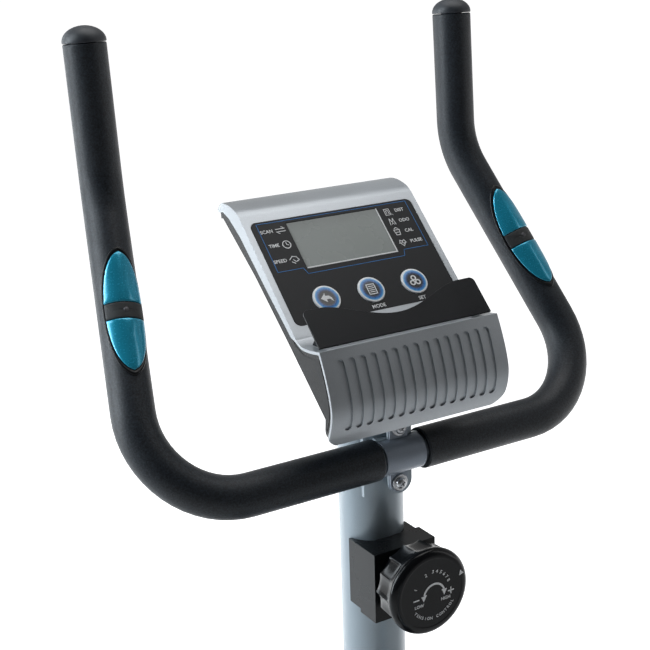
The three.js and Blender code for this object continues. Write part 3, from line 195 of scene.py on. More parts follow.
def plated(name, look):
    paint = Paint(name)
    streak = paint.noise(look["streakScale"], 3, 0.6, paint.coords(look["stretch"]))
    spot = paint.noise(look["spotScale"], 4)
    colour = paint.blend(paint.spread(spot, 0, 1), look["colour"], shade(look["colour"], 0.8))
    return paint.finish(Base_Color=colour, Metallic=look.get("metallic", 1.0),
                        Roughness=paint.spread(streak, look["roughness"] - 0.07, look["roughness"] + 0.09),
                        Normal=paint.bump(streak, look["grain"], 0.0002))


def liquidCrystal(name, look):
    # the cell is a little darker along its upper and left edges, where the bezel shades it
    paint = Paint(name)
    place = paint.coords(middle=facePlace @ (Vector(look["middle"]) * mm), turn=(-faceTilt, 0, 0))
    x = paint.node("SeparateXYZ", {}, {0: place}, out=0)
    y = paint.node("SeparateXYZ", {}, {0: place}, out=1)
    cloud = paint.noise(look["cloudScale"], 3)
    shadeTop = paint.node("MapRange", {}, {"Value": y, 1: 0.014, 2: 0.0245, 3: 0, 4: 0.55})
    shadeLeft = paint.node("MapRange", {}, {"Value": x, 1: -0.0445, 2: -0.0475, 3: 0, 4: 0.5})
    edge = paint.node("Math", {"operation": "MAXIMUM"}, {0: shadeTop, 1: shadeLeft})
    colour = paint.blend(paint.spread(cloud, 0, 0.6), look["colour"], look["tint"])
    colour = paint.blend(edge, colour, shade(look["colour"], 0.55))
    return paint.finish(Base_Color=colour, Roughness=paint.spread(cloud, 0.22, 0.32), Coat_Weight=look["coat"],
                        Coat_Roughness=0.1)


def keyPrint(name, look):
    # a dark centre, a blue ring that brightens outwards and a pale rim, by distance from the key's middle
    paint = Paint(name)
    reach = paint.node("VectorMath", {"operation": "LENGTH"},
                       {0: paint.coords(middle=facePlace @ (Vector(look["middle"]) * mm))}, out="Value")
    cloud = paint.noise(400, 3)
    share = reach / (look["radius"] * mm) + (cloud - 0.5) * 0.03
    colour = paint.node("ValToRGB", {"stops": look["stops"]}, {0: share})
    return paint.finish(Base_Color=colour, Roughness=paint.spread(cloud, 0.24, 0.34), Coat_Weight=0.4)


def printed(name, look):
    paint = Paint(name)
    ink = paint.noise(look["inkScale"], 3)
    colour = paint.blend(paint.spread(ink, 0, 1), look["colour"], shade(look["colour"], 0.9))
    return paint.finish(Base_Color=colour, Roughness=paint.spread(ink, 0.4, 0.55))


def grained(name, look):
    paint = Paint(name)
    pores = paint.node("TexVoronoi", {"feature": "DISTANCE_TO_EDGE"},
                       {"Vector": paint.coords(), "Scale": look["poreScale"]})
    fine = paint.noise(look["fineScale"], 5, 0.6)
    worn = paint.noise(look["wornScale"], 4)
    creases = paint.spread(pores, 0, 1, 0.0, 0.12)
    colour = paint.blend(paint.spread(worn, 0, 1, 0.4, 0.7), look["colour"], shade(look["colour"], 1.6))
    normal = paint.bump(creases, look["grain"], 0.0006, paint.bump(fine, 0.15, 0.0003))
    return paint.finish(Base_Color=colour, Sheen_Weight=0.15, Normal=normal,
                        Roughness=paint.spread(worn, look["roughness"] - 0.06, look["roughness"] + 0.08))


silver = enamel("silverEnamel", {"colour": (0.315, 0.375, 0.42), "mottleScale": 9, "peelScale": 260, "flakeScale": 2600,
                                 "flake": 0.35, "metallic": 0.35, "roughness": 0.36, "coat": 0.5})
strapSilver = enamel("strapEnamel", {"colour": (0.27, 0.31, 0.37), "mottleScale": 14, "peelScale": 300,
                                     "flakeScale": 2600, "flake": 0.35, "metallic": 0.35, "roughness": 0.4,
                                     "coat": 0.35})
consoleSilver = enamel("consoleSilver", {"colour": (0.46, 0.49, 0.52), "mottleScale": 12, "peelScale": 500,
                                         "flakeScale": 3200, "flake": 0.5, "metallic": 0.55, "roughness": 0.33,
                                         "coat": 0.3})
black = moulded("blackMoulding", {"colour": (0.010, 0.011, 0.012), "lift": 1.35, "grainScale": 1500, "cloudScale": 18,
                                  "grain": 0.25, "roughness": 0.36, "shine": 0.22})
satin = moulded("satinMoulding", {"colour": (0.008, 0.009, 0.010), "lift": 1.3, "grainScale": 2200, "cloudScale": 22,
                                  "grain": 0.1, "roughness": 0.26, "shine": 0.25})
charcoal = moulded("charcoalSatin", {"colour": (0.009, 0.010, 0.012), "lift": 1.25, "grainScale": 2600,
                                     "cloudScale": 16, "grain": 0.08, "roughness": 0.34, "shine": 0.2})
casing = moulded("shroudCasing", {"colour": (0.028, 0.030, 0.034), "lift": 1.3, "grainScale": 900, "cloudScale": 8,
                                  "grain": 0.4, "roughness": 0.46})
bandGrey = moulded("bandGrey", {"colour": (0.035, 0.037, 0.038), "lift": 1.5, "grainScale": 1800, "cloudScale": 60,
                                "grain": 0.3, "roughness": 0.5})
foam = foamed("gripFoam", {"colour": (0.0055, 0.007, 0.0095), "dust": (0.027, 0.035, 0.046), "cellScale": 1400,
                           "fuzzScale": 620, "smearScale": 30, "grain": 0.45, "roughness": 0.44, "shine": 0.42})
# the grip ends' black is lifted to a blue-grey, well above the other black mouldings: painted light, standing in for
# the dome's soft lit look
domed = moulded("domedEnd", {"colour": (0.020, 0.024, 0.030), "lift": 1.4, "grainScale": 1600, "cloudScale": 90,
                             "grain": 0.3, "roughness": 0.44, "shine": 0.6})
gloss = lacquered("glossBlack", {"colour": (0.004, 0.0045, 0.0055), "lift": 1.3, "cloudScale": 20,
                                 "hazeScale": 300, "metallic": 0.0, "roughness": 0.17, "coat": 0.0, "shine": 0.3})
panelBlack = lacquered("panelBlack", {"colour": (0.006, 0.007, 0.009), "lift": 1.25, "cloudScale": 25, "hazeScale": 500,
                                      "metallic": 0.0, "roughness": 0.42, "coat": 0.0, "shine": 0.3})
teal = lacquered("tealPlate", {"colour": (0.012, 0.33, 0.50), "lift": 1.2, "cloudScale": 40, "hazeScale": 700,
                               "metallic": 0.4, "roughness": 0.24, "coat": 0.8})
zinc = plated("zincPlate", {"colour": (0.62, 0.63, 0.65), "streakScale": 500, "stretch": (1, 1, 1), "spotScale": 60,
                            "roughness": 0.3, "grain": 0.12})
brushed = plated("brushedArm", {"colour": (0.55, 0.56, 0.58), "streakScale": 220, "stretch": (6, 1, 1), "spotScale": 20,
                                "roughness": 0.33, "grain": 0.12})
iron = plated("turnedIron", {"colour": (0.13, 0.13, 0.14), "streakScale": 300, "stretch": (5, 1, 1), "spotScale": 14,
                             "roughness": 0.5, "grain": 0.3})
rubber = moulded("blackRubber", {"colour": (0.014, 0.014, 0.015), "lift": 1.8, "grainScale": 700, "cloudScale": 40,
                                 "grain": 0.5, "roughness": 0.66})
webbing = moulded("strapRubber", {"colour": (0.020, 0.020, 0.022), "lift": 1.7, "grainScale": 500, "cloudScale": 30,
                                  "grain": 0.5, "roughness": 0.6})
vinyl = grained("saddleVinyl", {"colour": (0.016, 0.016, 0.018), "poreScale": 420, "fineScale": 900, "wornScale": 14,
                                "grain": 0.35, "roughness": 0.46})
board = moulded("solderResist", {"colour": (0.010, 0.075, 0.030), "lift": 1.3, "grainScale": 300, "cloudScale": 50,
                                 "grain": 0.2, "roughness": 0.4})
# this white serves the printing, and also the painted highlight on the display window's right and lower edges
white = printed("whitePrint", {"colour": (0.93, 0.94, 0.95), "inkScale": 1500})
blue = printed("bluePrint", {"colour": (0.020, 0.20, 0.56), "inkScale": 900})
cell = liquidCrystal("liquidCrystal", {"colour": (0.175, 0.205, 0.195), "tint": (0.215, 0.245, 0.23), "cloudScale": 30,
                                       "middle": (-2.25, 58.2, -0.4), "coat": 0.35})
print("materials made")


def shaped(bm, place=None, scale=mm):
    bmesh.ops.scale(bm, vec=(scale,) * 3, verts=bm.verts)
    if place:
        bmesh.ops.transform(bm, matrix=place, verts=bm.verts)
    return bm


def piece(name, bm, body, material, replaced=(), smooth=35):
    mesh = bpy.data.meshes.new(name)
    bm.to_mesh(mesh)
    bm.free()
    made = bpy.data.objects.new(name, mesh)
    bpy.context.scene.collection.objects.link(made)
    mesh.materials.append(material)
    mesh.polygons.foreach_set("use_smooth", [True] * len(mesh.polygons))
    mesh.set_sharp_from_angle(angle=math.radians(smooth))
    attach(made, body)
    if replaced:
        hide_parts(*replaced)
    made.modifiers.new("shading", "WEIGHTED_NORMAL").keep_sharp = True
    return made


def bodyOf(node):
    return next(body for body, members in frame["record"]["behaviour"]["bodies"].items() if node in members)


def merged(node):
    bm = bmesh.new()
    bm.from_mesh(cadNodes[node].data)
    bmesh.ops.remove_doubles(bm, verts=bm.verts, dist=2e-6)
    bmesh.ops.dissolve_limit(bm, angle_limit=math.radians(1.2), verts=bm.verts, edges=bm.edges)
    return bm


def rounded(bm, width, segments=2, over=30):
    edges = [e for e in bm.edges if len(e.link_faces) == 2 and e.calc_face_angle(0) > math.radians(over)]
    bmesh.ops.bevel(bm, geom=edges, offset=width * mm, offset_type="OFFSET", segments=segments, profile=0.5,
                    affect="EDGES", material=-1, clamp_overlap=True, loop_slide=True)
    return bm


def eased(node, material, width=0.8, segments=2, over=30):
    # a CAD node with its edges broken, as a mould or a file leaves them
    piece(node + "_eased", rounded(merged(node), width, segments, over), bodyOf(node), material,
          [node], smooth=32)


def recoloured(node, material):
    mesh = cadNodes[node].data
    mesh.materials.clear()
    mesh.materials.append(material)
    mesh.polygons.foreach_set("use_smooth", [True] * len(mesh.polygons))
    mesh.set_sharp_from_angle(angle=math.radians(32))


def lathe(profile, sides=48, bm=None):
    # profile is (radius, height) pairs, turned about Z
    bm = bm or bmesh.new()
    verts = [bm.verts.new((radius, 0, height)) for radius, height in profile]
    edges = [bm.edges.new(pair) for pair in zip(verts, verts[1:])]
    bmesh.ops.spin(bm, geom=verts + edges, cent=(0, 0, 0), axis=(0, 0, 1), angle=math.tau, steps=sides,
                   use_merge=True)
    bmesh.ops.remove_doubles(bm, verts=bm.verts, dist=1e-4)
    bmesh.ops.recalc_face_normals(bm, faces=bm.faces)
    return bm


def prism(outline, low, high, bm=None):
    # outline is (x, y) pairs, raised from z = low to z = high
    bm = bm or bmesh.new()
    verts = [bm.verts.new((x, y, low)) for x, y in outline]
    face = bm.faces.new(verts)
    raised = bmesh.ops.extrude_face_region(bm, geom=[face])
    moved = [g for g in raised["geom"] if isinstance(g, bmesh.types.BMVert)]
    bmesh.ops.translate(bm, vec=(0, 0, high - low), verts=moved)
    bmesh.ops.recalc_face_normals(bm, faces=bm.faces)
    return bm


def roundedBox(left, right, bottom, top, radius, steps=8):
    points = []
    for x, y, start in ((right, top, 0), (left, top, 90), (left, bottom, 180), (right, bottom, 270)):
        middle = (x - math.copysign(radius, x - (left + right) / 2), y - math.copysign(radius, y - (bottom + top) / 2))
        for step in range(steps + 1):
            angle = math.radians(start + 90 * step / steps)
            points.append((middle[0] + radius * math.cos(angle), middle[1] + radius * math.sin(angle)))
    return points


def inOrder(bm):
    # a fixed order of points, edges and faces, so that every run cuts and rounds alike
    for items, place in ((bm.verts, lambda v: v.co), (bm.edges, lambda e: e.verts[0].co + e.verts[1].co),
                         (bm.faces, lambda f: f.calc_center_median())):
        ranked = sorted(items, key=lambda item: tuple(round(c, 4) for c in place(item)))
        rank = {item: index for index, item in enumerate(ranked)}
        items.sort(key=rank.get)
    return bm


def temporary(bm):
    mesh = bpy.data.meshes.new("temporary")
    inOrder(bm).to_mesh(mesh)
    bm.free()
    made = bpy.data.objects.new("temporary", mesh)
    bpy.context.scene.collection.objects.link(made)
    return made


def carved(base, *steps):
    # steps are (operation, bmesh) pairs; returns the result as a bmesh
    target = temporary(base)
    helpers = []
    for operation, tool in steps:
        helper = temporary(tool)
        helpers.append(helper)
        modifier = target.modifiers.new("cut", "BOOLEAN")
        modifier.operation, modifier.object, modifier.solver = operation, helper, "EXACT"
    bpy.context.view_layer.update()
    result = bmesh.new()
    result.from_object(target, bpy.context.evaluated_depsgraph_get())
    for each in (target, *helpers):
        bpy.data.objects.remove(each)
    bmesh.ops.remove_doubles(result, verts=result.verts, dist=0.01)
    bmesh.ops.dissolve_degenerate(result, dist=0.01, edges=result.edges)
    bmesh.ops.dissolve_limit(result, angle_limit=math.radians(0.5), verts=result.verts, edges=result.edges)
    return inOrder(result)


def alongX(bm):
    # a prism drawn in (y, z) and raised along z becomes one that runs along x
    bmesh.ops.transform(bm, matrix=Matrix(((0, 0, 1, 0), (1, 0, 0, 0), (0, 1, 0, 0), (0, 0, 0, 1))), verts=bm.verts)
    return bm


def joined(*parts):
    whole = parts[0]
    for part in parts[1:]:
        mesh = bpy.data.meshes.new("part")
        part.to_mesh(mesh)
        part.free()
        whole.from_mesh(mesh)
        bpy.data.meshes.remove(mesh)
    return whole


def aimed(start, direction):
    return Matrix.Translation(start) @ Vector(direction).to_track_quat("Z", "Y").to_matrix().to_4x4()


handlebar = {"tube": 14, "foam": 19, "foamWall": 4.6, "foamStart": 24, "foamEase": 1.4,
             "corners": [(244, 0, 0), (193.5, 184, 224)], "end": (194.8, 202, 355), "bends": [78, 90]}


def sweep(corners, bends, radius, sides, arcSteps=14, straightSteps=6):
    bm = bmesh.new()
    corners = [Vector(c) for c in corners]
    heading = (corners[1] - corners[0]).normalized()
    made = bmesh.ops.create_circle(bm, cap_ends=False, segments=sides, radius=radius,
                                   matrix=aimed(corners[0], heading))
    loop = list(dict.fromkeys(e for v in made["verts"] for e in v.link_edges))
    at = corners[0]

    def run(loop, start, end):
        for _ in range(straightSteps):
            made = bmesh.ops.extrude_edge_only(bm, edges=loop)["geom"]
            loop = [g for g in made if isinstance(g, bmesh.types.BMEdge)]
            bmesh.ops.translate(bm, vec=(end - start) / straightSteps,
                                verts=[g for g in made if isinstance(g, bmesh.types.BMVert)])
        return loop

    for i, corner in enumerate(corners[1:-1]):
        into, away = (corner - corners[i]).normalized(), (corners[i + 2] - corner).normalized()
        turn = into.angle(away)
        reach = bends[i] * math.tan(turn / 2)
        loop = run(loop, at, corner - into * reach)
        axis = into.cross(away).normalized()
        centre = corner - into * reach + axis.cross(into) * bends[i]
        made = bmesh.ops.spin(bm, geom=loop, cent=centre, axis=axis, angle=turn, steps=arcSteps)["geom_last"]
        loop = [g for g in made if isinstance(g, bmesh.types.BMEdge)]
        at = corner + away * reach
    run(loop, at, corners[-1])
    bmesh.ops.remove_doubles(bm, verts=bm.verts, dist=1e-4)
    bmesh.ops.recalc_face_normals(bm, faces=bm.faces)
    return bm


def flipped(bm):
    bmesh.ops.scale(bm, vec=(-1, 1, 1), verts=bm.verts)
    bmesh.ops.reverse_faces(bm, faces=bm.faces)
    return bm


def sleeve(bm, wall, ease):
    # gives an open tube its wall and eases the rims of its two mouths
    outer = bm.faces[:]
    bmesh.ops.solidify(bm, geom=outer, thickness=wall)
    bmesh.ops.recalc_face_normals(bm, faces=bm.faces)
    rims = [e for e in bm.edges if len(e.link_faces) == 2 and e.calc_face_angle(0) > math.radians(60)]
    bmesh.ops.bevel(bm, geom=rims, offset=ease, segments=4, profile=0.5, affect="EDGES", material=-1)
    return bm


barPlace = Matrix.Translation(barCentre)
start = (handlebar["foamStart"], 0, 0)
corners = [start, *handlebar["corners"], handlebar["end"]]
mirroredCorners = [(-x, y, z) for x, y, z in [handlebar["end"], *handlebar["corners"][::-1]]]
wholeBar = sweep([*mirroredCorners, *handlebar["corners"], handlebar["end"]],
                 [*handlebar["bends"][::-1], *handlebar["bends"]], handlebar["tube"], 40)
piece("handlebar_bent_tube", shaped(sleeve(wholeBar, 2, 0.4), barPlace), "handlebar", silver,
      ["handlebar_tube"])

gripEnd = Vector(handlebar["end"])
gripHeading = (gripEnd - Vector(handlebar["corners"][1])).normalized()
capProfile = [(0, -12), (10.5, -12), (10.5, 0.4), (18.6, 0.4), (19.1, 0.7)]
capProfile += [(19.3 * math.cos(math.radians(step * 7.5)), 1.4 + 13.6 * math.sin(math.radians(step * 7.5)))
               for step in range(12)] + [(0, 15)]
for side, isLeft in (("right", False), ("left", True)):
    grip = sleeve(sweep(corners, handlebar["bends"], handlebar["foam"], 56, 16, 7), handlebar["foamWall"],
                  handlebar["foamEase"])
    cap = shaped(lathe(capProfile, 56), aimed(gripEnd, gripHeading), 1)
    for bm in (grip, cap):
        if isLeft:
            flipped(bm)
        shaped(bm, barPlace)
    piece(f"foam_sleeve_{side}", grip, "handlebar", foam, [f"foam_grip_{side}"], smooth=40)
    piece(f"domed_end_{side}", cap, "handlebar", domed, [f"grip_end_{side}"], smooth=40)
print("handlebar made")


sensor = {"along": 178, "tip": 59, "wide": 21.6, "rim": 3.2, "band": 15, "bandGap": 0.5, "wrap": 20,
          "screwHeight": 21.3, "sides": 96, "bandSides": 64}
lowCorner, highCorner = (Vector(c) for c in handlebar["corners"])
armHeading = (highCorner - lowCorner).normalized()
facing = Vector((0, -highCorner.z, highCorner.y)).normalized()
facing = (facing - armHeading * facing.dot(armHeading)).normalized()
lateral = armHeading.cross(facing)
armPlace = Matrix.Translation(lowCorner + armHeading * sensor["along"]) @ Matrix(
    (lateral, armHeading, facing)).transposed().to_4x4()


def almondWidth(y, inset):
    # half the width of the almond outline at y, from its bezier edge
    tip, wide = sensor["tip"] - inset * 1.6, sensor["wide"] - inset
    share = min(1.0, abs(y) / tip)
    low, high = 0.0, 1.0
    for _ in range(24):
        t = (low + high) / 2
        height = (1 - t) ** 3 + 3 * (1 - t) ** 2 * t * 0.93 + 3 * (1 - t) * t * t * 0.5
        low, high = (t, high) if height > share else (low, t)
    return wide * (3 * (1 - t) ** 2 * t * 0.62 + 3 * (1 - t) * t * t + t ** 3)


def almond(inset, count):
    tip = sensor["tip"] - inset * 1.6
    points = []
    for i in range(count):
        angle = math.tau * i / count
        y = tip * math.sin(angle)
        points.append(Vector((math.copysign(almondWidth(y, inset), math.cos(angle)), y)))
    return points


def halfAlmond(inset, count, sign):
    # one plate: the almond beyond the band, with soft corners at the band
    inset += sensor["rim"]
    base = sensor["band"] / 2 + (inset - sensor["rim"])
    tip = sensor["tip"] - inset * 1.6
    flat = count // 4
    points = []
    for i in range(flat):
        share = i / flat
        points.append(Vector((almondWidth(base, inset) * (2 * share - 1), base)))
    for i in range(count - flat):
        angle = math.pi * i / (count - flat)
        y = base + (tip - base) * math.sin(angle)
        points.append(Vector((math.copysign(almondWidth(y, inset), math.cos(angle)), y)))
    return [Vector((p.x, p.y * sign)) for p in points][::int(sign)]


def wrapped(rings, outline, count):
    # rings of (inset, height) drawn round an outline, wrapped on the bar's foam
    bm = bmesh.new()
    circle = bmesh.ops.create_circle(bm, cap_ends=False, segments=count, radius=100)["verts"]
    order = sorted(circle, key=lambda v: math.atan2(v.co.y, v.co.x) % math.tau)
    loop = list(dict.fromkeys(e for v in circle for e in v.link_edges))
    for v, p in zip(order, outline(rings[0][0], count)):
        v.co = (p.x, p.y, rings[0][1])
    for inset, height in rings[1:]:
        places = {tuple(round(c, 5) for c in v.co): i for i, v in enumerate(order)}
        made = bmesh.ops.extrude_edge_only(bm, edges=loop)["geom"]
        loop = [g for g in made if isinstance(g, bmesh.types.BMEdge)]
        fresh = [g for g in made if isinstance(g, bmesh.types.BMVert)]
        fresh.sort(key=lambda v: places[tuple(round(c, 5) for c in v.co)])
        target = outline(min(inset, 6), count)
        middle = sum(target, Vector((0, 0))) / count
        for v, p in zip(fresh, target):
            p = p if inset <= 6 else middle + (p - middle) * (1 - (inset - 6) / 12)
            v.co = (p.x, p.y, height)
        order = fresh
    bmesh.ops.contextual_create(bm, geom=loop)
    bmesh.ops.poke(bm, faces=[f for f in bm.faces if len(f.verts) > 4])
    for v in bm.verts:
        angle, radius = v.co.x / sensor["wrap"], v.co.z
        v.co = (radius * math.sin(angle), v.co.y, radius * math.cos(angle))
    bmesh.ops.recalc_face_normals(bm, faces=bm.faces)
    return bm


housingRings = [(0, 17.5), (0, 19.2), (0.3, 20.0), (0.9, 20.5), (1.7, 20.6), (2.2, 20.3), (2.7, 19.9), (6, 19.9),
                (14, 19.9)]
plateRings = [(0.1, 19.6), (0.1, 20.6), (0.35, 21.1), (0.9, 21.45), (1.8, 21.6), (3.5, 21.7), (6, 21.75), (10, 21.8),
              (14, 21.8)]
bandRings = [(0, 19.6), (0, 20.7), (0.3, 21.0), (0.9, 21.15), (2, 21.2), (6, 21.2), (12, 21.2)]
screwProfile = [(0, 0.25), (1.6, 0.35), (2.1, 0.1), (2.4, -0.3)]
bandHalf = sensor["band"] / 2 - sensor["bandGap"]


def bandOutline(inset, count):
    points = []
    for i in range(count):
        angle = math.tau * i / count
        x, y = math.cos(angle), math.sin(angle)
        reach = max(abs(x), abs(y))
        y = y / reach * (bandHalf - inset)
        points.append(Vector((x / reach * (almondWidth(y, sensor["rim"] + 0.2) - inset), y)))
    return points


for side, isLeft in (("right", False), ("left", True)):
    housing = wrapped(housingRings, almond, sensor["sides"])
    upper = wrapped(plateRings, lambda inset, count: halfAlmond(inset, count, 1), sensor["sides"])
    lower = wrapped(plateRings, lambda inset, count: halfAlmond(inset, count, -1), sensor["sides"])
    band = wrapped(bandRings, bandOutline, sensor["bandSides"])
    pin = shaped(lathe(screwProfile, 20), Matrix.Translation((0, 0, sensor["screwHeight"])), 1)
    for bm, name, material, slotName, nodes in (
            (housing, "sensor_bezel", satin, "black_plastic", ["sensor_housing"]),
            (upper, "pulse_plate_upper", teal, "teal_plate", ["sensor_plate_upper"]),
            (lower, "pulse_plate_lower", teal, "teal_plate", ["sensor_plate_lower"]),
            (band, "sensor_band", bandGrey, "black_plastic", []),
            (pin, "sensor_screw", iron, "zinc", [])):
        shaped(bm, armPlace, 1)
        if isLeft:
            flipped(bm)
        shaped(bm, barPlace)
        piece(f"{name}_{side}", bm, "handlebar", material, [f"{n}_{side}" for n in nodes], smooth=50)
print("sensors made")


console = {"halfWidth": 92.5, "lipThickness": 2.6, "seamHeight": 6, "topCorner": 7, "panelCorner": 16,
           "panelLow": 39, "faceRise": 142.5, "top": 131.5, "opening": (-86.3, 86.3, -21.3, 88.3, 6.3),
           "openingDepth": 1.3, "seamInset": 2.3, "seamGap": 0.2}
lip = [(-122.7, -30.5), (-119.6, -17), (-114.5, -6), (-107, 3.4), (-97, 10.4), (-87, 15.6), (-75, 20.9), (-61.5, 26)]
ledge = [(-61.5, 26), (-52.8, 14.6), (-43, 4.2), (-33, 0)]
crown = [(96, 0), (103, -1.4), (110, -4.6), (118, -9.8), (125, -16.5), (129, -22.5), (129.8, -29.6)]
sideEdge = [(-27, -5.9), (25, -9.7), (84.7, -12.8), (108, -17), (119, -22), (124.4, -29.6)]


def softened(points, steps=4):
    # a smooth line through the points
    out = []
    for i in range(len(points) - 1):
        before = points[max(i - 1, 0)]
        here, after = points[i], points[i + 1]
        beyond = points[min(i + 2, len(points) - 1)]
        for step in range(steps):
            t = step / steps
            out.append(tuple(0.5 * (2 * h + (a - b) * t + (2 * b - 5 * h + 4 * a - c) * t * t
                                    + (3 * h - b - 3 * a + c) * t ** 3)
                             for b, h, a, c in zip(before, here, after, beyond)))
    out.append(points[-1])
    return out


def offsetLine(points, distance):
    # moves an open line to its right-hand side, so inwards for the console's outline
    out = []
    for i, point in enumerate(points):
        before, after = points[max(i - 1, 0)], points[min(i + 1, len(points) - 1)]
        first = Vector((point[0] - before[0], point[1] - before[1]))
        second = Vector((after[0] - point[0], after[1] - point[1]))
        first = (first if first.length else second).normalized()
        second = (second if second.length else first).normalized()
        normal = Vector((first.y + second.y, -first.x - second.x)).normalized()
        spread = max(0.55, normal.dot(Vector((first.y, -first.x))))
        out.append((point[0] + normal.x * distance / spread, point[1] + normal.y * distance / spread))

    def clear(place):  # false where the moved line has folded over itself
        place = Vector(place)
        for a, b in zip(points, points[1:]):
            a, b = Vector(a), Vector(b)
            share = min(1, max(0, (place - a).dot(b - a) / (b - a).length_squared))
            if (place - a - (b - a) * share).length < abs(distance) - 0.05:
                return False
        return True

    return [place for place in out if clear(place)]


outline = softened(lip) + softened(ledge)[1:] + softened(crown)
underside = offsetLine(softened(lip) + softened(ledge)[1:], console["lipThickness"]) + sideEdge


def strip(upper, lower):
    # the band between two of the console's lines, right across it
    return alongX(prism(upper + lower[::-1], -120, 120))


keys = {"radius": 13.2, "gap": 0.4, "proud": 1.2, "depth": 7, "pitch": 46.5, "names": ("reset", "mode", "set")}


def keyHoles():
    reach = keys["radius"] + keys["gap"]
    return joined(*[shaped(lathe([(0, -30), (reach, -30), (reach, 30), (0, 30)], 48),
                           Matrix.Translation(((i - 1) * keys["pitch"], 0, 0)), 1) for i in range(3)])


def fromFront(bm):
    # stands a shape drawn from above up, so that it is drawn as seen from the rider's side
    bmesh.ops.rotate(bm, cent=(0, 0, 0), matrix=Matrix.Rotation(math.pi / 2, 3, "X"), verts=bm.verts)
    bmesh.ops.rotate(bm, cent=(0, 0, 0), matrix=Matrix.Rotation(-faceTilt, 3, "X"), verts=bm.verts)
    return bm


def corners2d(insetBy):
    # the rounded outlines that trim the console from above its face and from the front
    half = console["halfWidth"] - insetBy
    above = prism(roundedBox(-half, half, -400, console["top"] - insetBy, console["topCorner"] - insetBy, 12),
                  -150, 150)
    low = console["panelLow"] - console["faceRise"] + insetBy
    front = prism(roundedBox(-half, half, low, low + 600, console["panelCorner"] - insetBy, 10), -400, 400)
    return above, fromFront(front)


def frontWindow():
    return prism(roundedBox(*console["opening"], 8), -console["openingDepth"], 20)


groove = {"count": 15, "pitch": 10.8, "width": 6.7, "depth": 1.5, "high": 114.5, "low": 55.5}


def grooveCutters():
    # upright slots seen from the front, kept only as deep as the groove
    slots = []
    for i in range(groove["count"]):
        x = (i - (groove["count"] - 1) / 2) * groove["pitch"]
        half = groove["width"] / 2
        low, high = groove["low"] - console["faceRise"], groove["high"] - console["faceRise"]
        slots.append(prism(roundedBox(x - half, x + half, low, high, half - 0.01, 7), -200, 200))
    lipLine = softened(lip)
    skin = alongX(prism(offsetLine(lipLine, -6) + offsetLine(lipLine, groove["depth"])[::-1], -95, 95))
    return carved(fromFront(joined(*slots)), ("INTERSECT", skin))


above, front = corners2d(0)
frontShell = carved(strip(outline, underside), ("INTERSECT", above), ("INTERSECT", front),
                    ("DIFFERENCE", frontWindow()), ("DIFFERENCE", grooveCutters()), ("DIFFERENCE", keyHoles()))
frontShell = rounded(shaped(frontShell, facePlace), 0.55, 3, 28)
piece("console_fascia", frontShell, "frame", consoleSilver, ["console_front"], smooth=30)

above, front = corners2d(console["seamInset"])
seamStrip = strip(offsetLine(underside, console["seamGap"]), offsetLine(underside, console["seamHeight"]))
seam = carved(seamStrip, ("INTERSECT", above), ("INTERSECT", front), ("DIFFERENCE", keyHoles()))
piece("console_seam", rounded(shaped(seam, facePlace), 0.4, 2), "frame", satin)
eased("console_back", black, 0.7)

flap = {"half": 89.5, "foot": -57.3, "top": -19.5, "flat": 73, "dip": 19, "corner": 5, "out": 23, "thickness": 2,
        "legInset": 7, "legHalf": 1.5, "leg": [(-57, 22.1), (-56.4, 20.8), (-51.7, 14.6), (-44, 6.3), (-42.5, 22.1)]}


def flapOutline():
    half, foot, top, corner = flap["half"], flap["foot"], flap["top"], flap["corner"]
    points = [(-half, foot), (half, foot)]
    for step in range(9):
        angle = math.radians(90 * step / 8)
        points.append((half - corner + corner * math.cos(angle), top - corner + corner * math.sin(angle)))
    for step in range(1, 48):
        x = flap["flat"] * (1 - step / 24)
        points.append((x, top - flap["dip"] * (0.5 + 0.5 * math.cos(math.pi * x / flap["flat"])) ** 0.85))
    for step in range(9):
        angle = math.radians(90 + 90 * step / 8)
        points.append((-half + corner + corner * math.cos(angle), top - corner + corner * math.sin(angle)))
    return points


rest = [prism(flapOutline(), flap["out"] - flap["thickness"] / 2, flap["out"] + flap["thickness"] / 2)]
for side in (-1, 1):
    middle = side * (flap["half"] - flap["legInset"])
    rest.append(alongX(prism(flap["leg"], middle - flap["legHalf"], middle + flap["legHalf"])))
piece("book_flap", rounded(shaped(joined(*rest), facePlace), 0.4, 3, 40), "frame", charcoal,
      ["book_rest"], smooth=30)
eased("display_panel", panelBlack, 0.2, 2)
recoloured("circuit_board", board)

window = {"left": -50.5, "right": 46, "low": 33.5, "high": 83, "corner": 1.2, "back": -3.2, "front": -0.35,
          "edge": 1.2, "edgeBack": -0.6}
lens = prism(roundedBox(window["left"], window["right"], window["low"], window["high"], window["corner"], 4),
             window["back"], window["front"])
piece("display_window", rounded(shaped(lens, facePlace), 0.2, 2), "frame", cell, ["display_lens"])
# a white strip along the glass's right and lower edges: a painted highlight, standing in for light caught on the
# window's edge
edgeRight, edgeLow = window["right"] + 0.2, window["low"] - 0.1
edgeHighlight = joined(prism([(edgeRight - window["edge"], window["low"] + 0.2), (edgeRight, window["low"] + 0.2),
                          (edgeRight, window["high"]), (edgeRight - window["edge"], window["high"])],
                         window["edgeBack"], -0.1),
                   prism([(window["left"] + 0.2, edgeLow), (edgeRight, edgeLow),
                          (edgeRight, edgeLow + window["edge"]), (window["left"] + 0.2, edgeLow + window["edge"])],
                         window["edgeBack"], -0.12))
piece("window_edge", shaped(edgeHighlight, facePlace), "frame", white)


def ribbon(points, width, low, high, closed=True):
    # a flat line of even width through the points
    parts = []
    count = len(points)
    for i in range(count if closed else count - 1):
        a, b = Vector(points[i]), Vector(points[(i + 1) % count])
        along = (b - a).normalized() * width / 2
        across = Vector((-along.y, along.x))
        parts.append(prism([a - along - across, b + along - across, b + along + across, a - along + across],
                           low, high))
    return joined(*parts)


